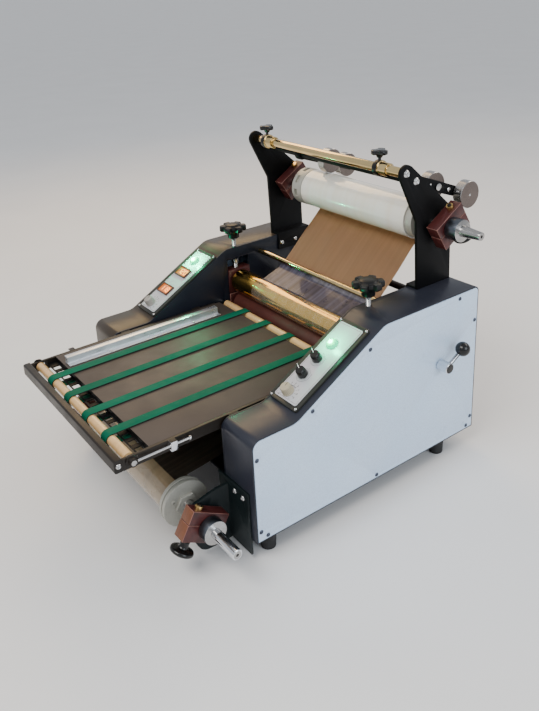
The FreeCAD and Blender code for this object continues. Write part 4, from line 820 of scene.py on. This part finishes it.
def place_lower_trim():
    """Hexagon on the lower flange with its clamp screw, and the thick plated sleeve on the shaft's end."""
    flange = Vector((high("lower_film_roll").x + FLANGE_OUT, LOWER_AXIS.y, LOWER_AXIS.z))
    hexagon = [(0, 0.0), (0, HEXAGON_R - 0.001), (0.001, HEXAGON_R), (HEXAGON_THICK - 0.001, HEXAGON_R),
               (HEXAGON_THICK, HEXAGON_R - 0.001), (HEXAGON_THICK, 0.0)]
    clamp_screw = [(-0.0005, 0.0), (-0.0005, 0.0042), (0.0030, 0.0042), (0.0036, 0.0036), (0.0036, 0.0022),
                   (0.0012, 0.0020), (0.0012, 0.0)]
    bm = bmesh.new()
    lathe_into(bm, hexagon, flange, ACROSS, 6)
    lathe_into(bm, clamp_screw, flange + Vector((0, -0.025, 0.015)), ACROSS, 24)
    bmesh.ops.recalc_face_normals(bm, faces=bm.faces)
    place(from_bmesh("lower_flange_hexagon", bm, "zinc", 30.0), "lower_mandrel")
    sleeve = [(0.0, 0.0), (0.0, SLEEVE_R), (SLEEVE_LONG - 0.0012, SLEEVE_R),
              (SLEEVE_LONG - 0.0002, SLEEVE_R - 0.001), (SLEEVE_LONG - 0.0002, 0.0028),
              (SLEEVE_LONG - CENTRE_HOLE_DEEP, 0.0025),
              (SLEEVE_LONG - CENTRE_HOLE_DEEP, 0.0)]
    inner_end = Vector((high("lower_mandrel").x - SLEEVE_LONG, LOWER_AXIS.y, LOWER_AXIS.z))
    place(lathe("lower_shaft_sleeve", sleeve, inner_end, ACROSS, "bright", 64), "lower_mandrel")


FACE_RINGS = 14
WHEEL_BORE_R = 0.0041
WHEEL_HUB_DEEP = 0.004
WHEEL_RIM = 0.0009
WHEEL_FACE_EDGE = 0.0012
STUD_MIDDLE = 0.0025
STUD_HALF = 0.0045
STUD_FROM_PIVOT = 0.02
ARM_SLOPE = math.radians(-20.6)
ARM_FACE = 0.005
ARM_SCREWS = ((0.040, 0.0042), (0.052, 0.0028), (0.108, 0.0042))


def wheel_profile(radius, wide):
    """A wheel with a bore from behind, rounded rims and fine turned rings on its face."""
    profile = [(wide - WHEEL_HUB_DEEP, 0.0), (wide - WHEEL_HUB_DEEP, WHEEL_BORE_R), (0.0, WHEEL_BORE_R),
               (0.0, radius - WHEEL_RIM), (WHEEL_RIM, radius), (wide * 0.5, radius),
               (wide - WHEEL_RIM, radius), (wide, radius - WHEEL_RIM)]
    for ring in range(FACE_RINGS):
        reach = (radius - WHEEL_FACE_EDGE) * (1 - (ring + 0.5) / FACE_RINGS) + 0.0026
        if reach < radius - WHEEL_FACE_EDGE:
            profile.append((wide - (0.00012 if ring % 2 else 0.0), reach))
    return profile + [(wide, 0.0024), (wide - 0.0014, 0.0006), (wide - 0.0014, 0.0)]


def build_wheels():
    """The four wheels and the two arms that carry them."""
    for number in "1234":
        node = "cradle_wheel_" + number
        a = low(node)
        b = high(node)
        facing = 1 if number in "14" else -1
        back = Vector((a.x if facing > 0 else b.x, middle(node).y, middle(node).z))
        profile = wheel_profile((b.z - a.z) / 2, b.x - a.x)
        obj = lathe(node + "_turned", profile, back, ACROSS * facing, ["steel", "wheel_face_painted_dark_reflection"], 80, 30.0)
        # faces square to X take the darker colour: painted dark reflection on the wheels' flat faces
        for polygon in obj.data.polygons:
            polygon.material_index = 1 if abs(polygon.normal.x) > 0.9 else 0
        place(obj, node, (node,))
    for side in ("left", "right"):
        node = "cradle_arm_" + side
        pivot = joint_at(node + "_swing")

        def stud(centre, face, pivot=pivot):
            beside_arm = abs(centre.x - (pivot.x + STUD_MIDDLE)) > STUD_HALF
            return 1 if beside_arm and centre.y > pivot.y + STUD_FROM_PIVOT else 0

        softened(node, node, ["plate", "screw"], 0.0005, stud)
        place_arm_screws(node, pivot)


def place_arm_screws(node, pivot):
    """Button heads along the arm, between the bar and the wheels."""
    tip = Vector((0, math.cos(ARM_SLOPE), math.sin(ARM_SLOPE)))
    bm = bmesh.new()
    for distance, radius in ARM_SCREWS:
        origin = Vector((pivot.x + ARM_FACE - 0.0002, pivot.y, pivot.z)) + tip * distance
        head = [(0, 0.0), (0, radius), (0.0010, radius), (0.0020, radius * 0.72), (0.0023, radius * 0.45),
                (0.0012, radius * 0.40), (0.0012, 0.0)]
        lathe_into(bm, head, origin, ACROSS, 24)
    bmesh.ops.recalc_face_normals(bm, faces=bm.faces)
    place(from_bmesh(node + "_screws", bm, "screw", 30.0), node)


COLLAR_SLEEVE = 0.012
KNOB_NECK = [(0, 0.0), (0, 0.003), (0.0105, 0.003), (0.0105, 0.005), (0.0165, 0.008), (0.0168, 0.0)]
THUMB_HEIGHT = 0.009
THUMB_R = 0.0165


def build_rods():
    """The rod's collars and their thumb knobs."""
    for side in ("left", "right"):
        node = "rod_collar_" + side
        split = low(node).x + COLLAR_SLEEVE

        def sleeve(centre, face, split=split):
            return 1 if centre.x < split - 0.0002 else 0

        # the collar sleeves take the gold-tinted chrome: a painted warm reflection
        softened(node, node, ["chrome_painted_gold_reflection", "black"], 0.0005, sleeve)
        wing_knob(side)


def wing_knob(side):
    """Three-lobed thumb knob on its stepped neck."""
    node = "collar_knob_" + side
    bottom = low(node)
    top = high(node)
    centre = joint_at(node + "_turn")
    bm = bmesh.new()
    lobed_into(bm, centre, top.z - THUMB_HEIGHT, THUMB_HEIGHT, THUMB_R, 3, 0.66, 0.0016)
    lathe_into(bm, KNOB_NECK, Vector((centre.x, centre.y, bottom.z)), UP, 32)
    bmesh.ops.recalc_face_normals(bm, faces=bm.faces)
    place(from_bmesh(node + "_wings", bm, "bakelite", 40.0), node, (node,))


KNOB_STEPS = 144


def lobed_into(bm, centre, base, height, radius, lobes, waist, edge, dome=0.0):
    """A lobed hand knob with rounded rims; waist is the share of the radius between the lobes."""
    layers = [(0.0, edge, 1.0), (edge * 0.4, edge * 0.35, 1.0), (edge, 0.0, 1.0), (height - edge, 0.0, 1.0),
              (height - edge * 0.4, edge * 0.35, 1.0), (height, edge, 1.0)]
    if dome:
        layers += [(height - 0.0004, edge * 1.6, 1.0), (height + 0.0002, radius * 0.42, 0.0),
                   (height + dome * 0.6, radius * 0.48, 0.0), (height + dome * 0.9, radius * 0.62, 0.0),
                   (height + dome, radius * 0.8, 0.0)]
    rings = []
    for up, inset, shaped in layers:
        ring = []
        for step in range(KNOB_STEPS):
            angle = 2 * math.pi * step / KNOB_STEPS
            wave = min(1.0, max(0.0, (0.5 + 0.5 * math.cos(lobes * angle) - 0.22) / 0.46))
            lobe = wave * wave * (3 - 2 * wave)
            reach = radius * (waist + (1 - waist) * lobe) * shaped + radius * (1 - shaped) - inset
            corner = (centre.x + reach * math.cos(angle), centre.y + reach * math.sin(angle), base + up)
            ring.append(bm.verts.new(corner))
        rings.append(ring)
    skin_rings(bm, rings)


STAR_R = 0.0313
STAR_HEIGHT = 0.0132
STAR_BELOW_TOP = 0.0168
STAR_DOME = 0.0036
BOSS_BELOW_TOP = 0.0340
STAR_BOSS = [(0, 0.0), (0, 0.0120), (0.0015, 0.0134), (0.0110, 0.0134), (0.0150, 0.0160), (0.0172, 0.0180),
             (0.0172, 0.0)]
THREAD_BELOW_TOP = 0.033
THREAD_PITCH = 0.0015


def thread_profile(length):
    """A screw's thread as closed grooves, one for each turn."""
    turns = int(length / THREAD_PITCH)
    profile = [(0, 0.0), (0, 0.0042)]
    for turn in range(turns):
        along = (turn + 0.5) * length / turns
        profile.append((along - 0.0004, 0.0049))
        profile.append((along + 0.0004, 0.0043))
    return profile + [(length, 0.0045), (length, 0.0)]


def build_pressure():
    """Star knobs on threaded screws, and the springs."""
    for side in ("left", "right"):
        node = "pressure_screw_" + side
        centre = joint_at(node + "_turn")
        bottom = low(node).z
        top = high(node).z
        bm = bmesh.new()
        lobed_into(bm, centre, top - STAR_BELOW_TOP, STAR_HEIGHT, STAR_R, 6, 0.74, 0.0030, STAR_DOME)
        lathe_into(bm, STAR_BOSS, Vector((centre.x, centre.y, top - BOSS_BELOW_TOP)), UP, 48)
        bmesh.ops.recalc_face_normals(bm, faces=bm.faces)
        place(from_bmesh(node + "_star", bm, "black", 40.0), node, (node,))
        profile = thread_profile(top - THREAD_BELOW_TOP - bottom)
        foot = Vector((centre.x, centre.y, bottom))
        place(lathe(node + "_thread", profile, foot, UP, "screw", 32, 20.0), node)
        repaint("pressure_spring_" + side, "screw")


# ================================================================ feed table
GRILLE_DEEP = 0.0195
TENSIONER_HEAD = 0.016


def build_table():
    """Belts, plate with its grille, side guide and tensioner rods."""
    def belt_face(centre, face):
        return 1 if abs(face.normal.x) > 0.6 else 0

    softened("feed_belts", "machine", ["belt", "belt_under"], 0.0002, belt_face)

    def grille(centre, face):
        return 1 if centre.y < low("table_plate").y + GRILLE_DEEP else 0

    softened("table_plate", "machine", ["table", "plate"], 0.0003, grille)
    softened("side_guide", "side_guide", "alloy", 0.0004)
    for side in ("left", "right"):
        node = "tensioner_rod_" + side

        def head(centre, face):
            return 1 if centre.y < FRONT_BELT_AXIS.y + TENSIONER_HEAD else 0

        softened(node, node, ["screw", "black"], 0.0003, head)


# ================================================================ controls
def slanted(spot, along=0.0, across=0.0, up=0.0):
    """A point near another, measured on the slope."""
    return spot + ALONG * along + ACROSS * across + SLANT_NORMAL * up


SLOPE_AXES = (ACROSS, ALONG, SLANT_NORMAL)
INK_UP = 0.00012


def ink_bar(bm, spot, wide, long, turn=0.0):
    """A printed stroke on the overlay."""
    cosine = math.cos(turn)
    sine = math.sin(turn)
    axes = (ACROSS * cosine + ALONG * sine, ALONG * cosine - ACROSS * sine, SLANT_NORMAL)
    brick_into(bm, spot, (wide, long, INK_UP * 2), axes)


def dial_ticks(bm, centre, radius, start, end, count, long):
    """Radial ticks round a knob; angles in degrees from the slope's uphill direction."""
    for step in range(count):
        angle = math.radians(start + (end - start) * step / (count - 1))
        spot = slanted(centre, radius * math.cos(angle), radius * math.sin(angle))
        ink_bar(bm, spot, 0.0005, long, -angle)


DIGIT_BARS = {"a": (0, 1, 0), "b": (0.5, 0.5, 1), "c": (0.5, -0.5, 1), "d": (0, -1, 0),
              "e": (-0.5, -0.5, 1), "f": (-0.5, 0.5, 1), "g": (0, 0, 0)}
DIGIT_SHAPES = {"0": "abcdef", "1": "bc", "2": "abged", "3": "abgcd", "4": "fgbc", "5": "afgcd",
                "6": "afgedc", "7": "abc", "8": "abcdefg", "9": "abcdfg"}


def digit(bm, character, spot, height, stroke, thick):
    """A seven-bar figure lying on the slope, upright for a person in front."""
    half = height / 2
    wide = height * 0.55
    for bar in DIGIT_SHAPES[character]:
        across, along, standing = DIGIT_BARS[bar]
        centre = slanted(spot, along * half, across * wide)
        sizes = (stroke, half * 0.86, thick) if standing else (wide * 0.84, stroke, thick)
        brick_into(bm, centre, sizes, SLOPE_AXES)


FRAME_ALONG = (-0.0125, 0.1645)
FRAME_LINE = 0.0004
RIGHT_FRAME = (-0.0215, 0.0335)
LEFT_FRAME = (-0.0235, 0.0315)
DIAL_TURN = 130
DIAL_R = 0.0155
FIGURE_R = 0.0195
SELECTOR_R = 0.0158
SELECTOR_TURN = 60
FLUTED_R = 0.0113


def build_controls():
    """Printed marks, knobs, lamps and displays on both sloping panels."""
    right = joint_at("speed_knob_turn")
    upper = joint_at("selector_knob_upper_turn")
    lower = joint_at("selector_knob_lower_turn")
    left = joint_at("temperature_knob_turn")
    border = bmesh.new()
    overlay_frame(border, right, RIGHT_FRAME)
    overlay_frame(border, left, LEFT_FRAME)
    place(from_bmesh("overlay_borders", border, "red_ink"), "machine")
    bm = bmesh.new()
    crescent(bm, right)
    for spot in (right, left):
        dial_ticks(bm, spot, DIAL_R, -DIAL_TURN, DIAL_TURN, 11, 0.003)
    for spot in (upper, lower):
        dial_ticks(bm, spot, SELECTOR_R, -SELECTOR_TURN, SELECTOR_TURN, 3, 0.0028)
    for step, figure in enumerate("0123456789"):
        angle = math.radians(-DIAL_TURN + 2 * DIAL_TURN / 10 * step)
        for spot in (right, left):
            place_at = slanted(spot, FIGURE_R * math.cos(angle), FIGURE_R * math.sin(angle))
            digit(bm, figure, place_at, 0.0030, 0.00045, INK_UP * 2)
    place(from_bmesh("overlay_marks", bm, "ink"), "machine")
    chicken_head("selector_knob_upper", upper)
    chicken_head("selector_knob_lower", lower)
    fluted("speed_knob", right, "cream", FLUTED_R)
    fluted("temperature_knob", left, "grey_knob", FLUTED_R)
    lamps()
    displays(left)


def crescent(bm, spot):
    """A printed band round the speed knob that widens with the speed."""
    steps = 26
    for step in range(steps):
        share = step / (steps - 1)
        angle = math.radians(-120 + 150 * share)
        middle_at = slanted(spot, 0.0135 * math.cos(angle), 0.0135 * math.sin(angle))
        ink_bar(bm, middle_at, 0.0016, 0.0006 + 0.0018 * (1 - share), -angle)


def overlay_frame(bm, knob, edges):
    """Thin printed border just inside the overlay's edge."""
    start, end = FRAME_ALONG
    inner, outer = edges
    for across in edges:
        ink_bar(bm, slanted(knob, (start + end) / 2, across), FRAME_LINE, end - start)
    for along in FRAME_ALONG:
        ink_bar(bm, slanted(knob, along, (inner + outer) / 2), outer - inner, FRAME_LINE)


POINTER_TURN = math.radians(-65.0)
POINTER_BASE = 0.0027
POINTER_R = 0.0100
POINTER_NOSE = 0.0182
# (height over the base, share of the outline's reach)
POINTER_LAYERS = ((0.0, 1.0), (0.001, 1.03), (0.008, 0.95), (0.0135, 0.88), (0.0148, 0.80))
SKIRT = [(0.0006, 0.0), (0.0006, 0.0148), (0.0010, 0.0150), (0.0024, 0.0145), (0.0027, 0.0098),
         (0.0027, 0.0)]
FLUTE_DEEP = 0.0009
# (height over the slope, share of the radius, depth of the flutes)
FLUTED_LAYERS = ((0.0006, 1.0, 0.0), (0.0022, 1.0, 0.0), (0.0026, 0.98, 1.0), (0.0140, 0.90, 1.0),
                 (0.0155, 0.86, 0.5), (0.0163, 0.78, 0.0), (0.0164, 0.70, 0.0))


def slanted_rings(bm, spot, layers, reach_at, steps, turn=0.0):
    """Closed rings on the slope; reach_at gives the reach for an angle and a layer's other values."""
    rings = []
    for up, *shape in layers:
        ring = []
        for step in range(steps):
            angle = 2 * math.pi * step / steps
            reach = reach_at(angle, *shape)
            corner = slanted(spot, reach * math.cos(angle + turn), reach * math.sin(angle + turn), up)
            ring.append(bm.verts.new(corner))
        rings.append(ring)
    skin_rings(bm, rings)
    bmesh.ops.recalc_face_normals(bm, faces=bm.faces)


def pointer_reach(angle, scale):
    """Outline of a pointer knob: a round middle with a long nose and a short tail."""
    nose = POINTER_NOSE * max(0.0, math.cos(angle)) ** 9
    tail = POINTER_R * max(0.0, -math.cos(angle)) ** 6
    return (max(POINTER_R ** 6 + nose ** 6 + tail ** 6, 0.0) ** (1 / 6)) * scale


def fluted_reach(angle, radius, flutes):
    """Outline of a knob with 24 grooves."""
    return radius - FLUTE_DEEP * flutes * (0.5 - 0.5 * math.cos(24 * angle))


def chicken_head(node, spot):
    """Tapered pointer knob with a white line over a clear skirt, turned to its first place."""
    bm = bmesh.new()
    layers = [(POINTER_BASE + up, scale) for up, scale in POINTER_LAYERS]
    slanted_rings(bm, spot, layers, pointer_reach, 96, POINTER_TURN)
    place(from_bmesh(node + "_pointer", bm, "bakelite", 35.0), node, (node,))
    line = bmesh.new()
    cosine = math.cos(POINTER_TURN)
    sine = math.sin(POINTER_TURN)
    axes = (ACROSS * cosine - ALONG * sine, ALONG * cosine + ACROSS * sine, SLANT_NORMAL)
    strokes = ((0.0085, 0.0148, (0.0014, 0.0100, 0.0004)), (0.0166, 0.0080, (0.0014, 0.0012, 0.0120)))
    for reach, up, sizes in strokes:
        brick_into(line, slanted(spot, reach * cosine, reach * sine, POINTER_BASE + up), sizes, axes)
    place(from_bmesh(node + "_line", line, "white_ink"), node)
    place(lathe(node + "_skirt", SKIRT, spot, SLANT_NORMAL, "acrylic", 64), node)


def fluted(node, spot, mat, radius):
    """Fluted round knob with a smooth cap."""
    bm = bmesh.new()
    layers = [(up, radius * share, flutes) for up, share, flutes in FLUTED_LAYERS]
    slanted_rings(bm, spot, layers, fluted_reach, 144)
    place(from_bmesh(node + "_fluted", bm, mat, 35.0), node, (node,))
    line = bmesh.new()
    top = FLUTED_LAYERS[-1][0]
    brick_into(line, slanted(spot, radius * 0.42, 0.0, top), (0.0009, radius * 0.6, 0.0004), SLOPE_AXES)
    place(from_bmesh(node + "_mark", line, "ink"), node)


LAMP_GLOWS = (0.24, 0.60)
BEZEL = [(0.0002, 0.0), (0.0002, 0.0120), (0.0010, 0.0119), (0.0018, 0.0110), (0.0018, 0.0)]


def lamps():
    """Bezel, domed lens and glowing core of both lamps."""
    right = slanted(joint_at("speed_knob_turn"), 0.118)
    left = slanted(joint_at("temperature_knob_turn"), 0.141)
    for number, spot in enumerate((right, left)):
        bezel = lathe("lamp_bezel_%d" % number, BEZEL, spot, SLANT_NORMAL, "lamp", 64)
        place(bezel, "machine", () if number else ("indicator_lamps",))
        profile = [(0.0018, 0.0), (0.0018, 0.0104), (0.0042, 0.0101)]
        for ring in range(5):
            angle = math.radians(12 + 12 * ring)
            profile.append((0.0042 + 0.0052 * math.sin(angle), 0.0101 * math.cos(angle)))
        core_r = profile[-1][1]
        core_up = profile[-1][0]
        place(lathe("lamp_lens_%d" % number, profile, spot, SLANT_NORMAL, "lamp", 64), "machine")
        core = [(core_up, 0.0), (core_up, core_r)]
        for ring in range(4):
            angle = math.radians(22 * (ring + 1))
            core.append((core_up + 0.0008 * math.sin(angle), core_r * math.cos(angle)))
        place(lathe("lamp_core_%d" % number, core, spot, SLANT_NORMAL, "lamp_core", 64), "machine")
        glow = bpy.data.lights.new("lamp_glow_%d" % number, "POINT")
        glow.energy = LAMP_GLOWS[number]
        glow.color = (0.0, 1.0, 0.42)
        glow.shadow_soft_size = 0.006
        obj = bpy.data.objects.new(glow.name, glow)
        obj.location = slanted(spot, 0.0, 0.0, 0.024)
        bpy.context.scene.collection.objects.link(obj)

FIGURE_STEP = 0.011


def displays(knob):
    """Two framed windows with lit figures and the board behind them."""
    for number, (along, figures) in enumerate(((0.103, "120"), (0.046, "118"))):
        spot = slanted(knob, along)
        bm = bmesh.new()
        for across, wide, shift, long in ((0.0, 0.044, 0.0116, 0.0028), (0.0, 0.044, -0.0116, 0.0028),
                                          (0.0206, 0.0028, 0.0, 0.0204), (-0.0206, 0.0028, 0.0, 0.0204)):
            brick_into(bm, slanted(spot, shift, across, 0.002), (wide, long, 0.0039), SLOPE_AXES, 0.0004)
        obj = from_bmesh("display_frame_%d" % number, bm, "bezel")
        place(obj, "machine", () if number else ("temperature_displays",))
        window = bmesh.new()
        brick_into(window, slanted(spot, 0.0, 0.0, 0.0012), (0.0386, 0.0206, 0.0016), SLOPE_AXES, 0.0002)
        place(from_bmesh("display_window_%d" % number, window, "window"), "machine")
        lit = bmesh.new()
        for place_index, figure in enumerate(figures):
            figure_at = slanted(spot, 0.0, FIGURE_STEP * (place_index - 1), 0.0021)
            digit(lit, figure, figure_at, 0.0125, 0.0016, 0.0004)
        place(from_bmesh("display_figures_%d" % number, lit, "digit"), "machine")
    board = bmesh.new()
    centre = slanted(knob, 0.064, 0.0, -0.0212)
    brick_into(board, centre, (0.06, 0.15, 0.0016), SLOPE_AXES, 0.0002)
    for along, size in ((-0.055, 0.014), (-0.010, 0.022), (0.04, 0.016)):
        brick_into(board, slanted(centre, along, 0.0, -0.0048), (size, size, 0.0078), SLOPE_AXES, 0.0006, 1)
    place(from_bmesh("display_board", board, ["circuit", "pcb_part"]), "machine")


BALL_ABOVE_AXIS = 0.0165
CAP_FROM_PANEL = 0.02


def build_lever():
    """Plated lever with a black ball and hub cap."""
    axis = joint_at("lift_lever_turn")

    def black_part(centre, face):
        ball = centre.z > axis.z + BALL_ABOVE_AXIS
        hub_cap = face.normal.x > 0.9 and centre.x > high("side_panels").x + CAP_FROM_PANEL
        return 1 if ball or hub_cap else 0

    softened("lift_lever", "lift_lever", ["bright", "bakelite"], 0.0004, black_part)


# ================================================================ stage, light and camera
AZIMUTH = math.radians(55.1)
ELEVATION = math.radians(20.2)
ROLL = math.radians(-3.1)
FOCAL_PX = 751.1
CENTRE_PX = (261.6, 248.5)
IMAGE_PX = (539, 711)
SENSOR_MM = 36.0
EYE_FROM_CENTRE = Vector((1.1785, -0.8464, 0.9674))


def build_camera():
    """Camera at the photographed angle; its place is given from the middle of the housings."""
    data = bpy.data.cameras.new("camera")
    data.sensor_fit = "AUTO"
    data.sensor_width = SENSOR_MM
    data.lens = FOCAL_PX * SENSOR_MM / IMAGE_PX[1]
    data.shift_x = (IMAGE_PX[0] / 2 - CENTRE_PX[0]) / IMAGE_PX[1]
    data.shift_y = -(IMAGE_PX[1] / 2 - CENTRE_PX[1]) / IMAGE_PX[1]
    data.clip_start = 0.05
    data.clip_end = 60.0
    obj = bpy.data.objects.new("camera", data)
    bpy.context.scene.collection.objects.link(obj)
    level = math.cos(ELEVATION)
    back = Vector((math.sin(AZIMUTH) * level, -math.cos(AZIMUTH) * level, math.sin(ELEVATION)))
    right = (-back).cross(UP).normalized()
    up = right.cross(-back).normalized()
    turned_right = right * math.cos(ROLL) + up * math.sin(ROLL)
    turned_up = up * math.cos(ROLL) - right * math.sin(ROLL)
    rotation = Matrix((turned_right, turned_up, back)).transposed().to_4x4()
    eye = Vector((CENTRE_X, PANEL_MIDDLE_Y, 0.0)) + EYE_FROM_CENTRE
    obj.matrix_world = Matrix.Translation(eye) @ rotation
    bpy.context.scene.camera = obj
    return obj


def build_stage():
    """Pale flat floor and a plain soft sky."""
    mat, tree, shader = material("floor")
    tone = ramp(tree, noise(tree, 3.0, 3.0), [(0.3, (0.80, 0.79, 0.78)), (0.7, (0.83, 0.82, 0.81))])
    tree.links.new(tone, shader.inputs["Base Color"])
    shader.inputs["Roughness"].default_value = 0.6
    bm = bmesh.new()
    bmesh.ops.create_grid(bm, x_segments=2, y_segments=2, size=60.0)
    mesh = bpy.data.meshes.new("floor")
    bm.to_mesh(mesh)
    bm.free()
    mesh.materials.append(mat)
    floor = bpy.data.objects.new("floor", mesh)
    floor.location.z = -0.0005
    bpy.context.scene.collection.objects.link(floor)
    world = bpy.data.worlds.new("studio")
    world.use_nodes = True
    background = world.node_tree.nodes["Background"]
    background.inputs["Color"].default_value = (0.86, 0.90, 0.96, 1.0)
    background.inputs["Strength"].default_value = 0.75
    bpy.context.scene.world = world


def area_light(name, place_at, target, size, power, colour):
    """A soft rectangular lamp that faces its target."""
    data = bpy.data.lights.new(name, "AREA")
    data.shape = "RECTANGLE"
    data.size = size[0]
    data.size_y = size[1]
    data.energy = power
    data.color = colour
    obj = bpy.data.objects.new(name, data)
    obj.location = place_at
    obj.rotation_euler = (Vector(target) - Vector(place_at)).to_track_quat("-Z", "Y").to_euler()
    bpy.context.scene.collection.objects.link(obj)


def build_lights():
    """Key from the front, cool side light, warm light from the left and one from behind."""
    area_light("key", (0.5, -1.7, 2.5), (0, 0, 0.25), (1.8, 1.0), 52.0, (1.0, 0.97, 0.93))
    area_light("side", (2.6, 0.5, 1.4), (0, 0.1, 0.2), (1.6, 1.4), 30.0, (0.84, 0.92, 1.0))
    area_light("warm", (-1.9, 0.7, 1.9), (-0.1, 0.1, 0.3), (1.4, 1.2), 26.0, (1.0, 0.68, 0.33))
    area_light("back", (0.6, 2.4, 2.2), (0, 0.1, 0.35), (1.8, 0.8), 22.0, (1.0, 0.92, 0.82))


build_structure()
build_rollers()
build_film()
build_mandrels()
build_wheels()
build_rods()
build_pressure()
build_table()
build_controls()
build_lever()
build_stage()
build_lights()
build_camera()
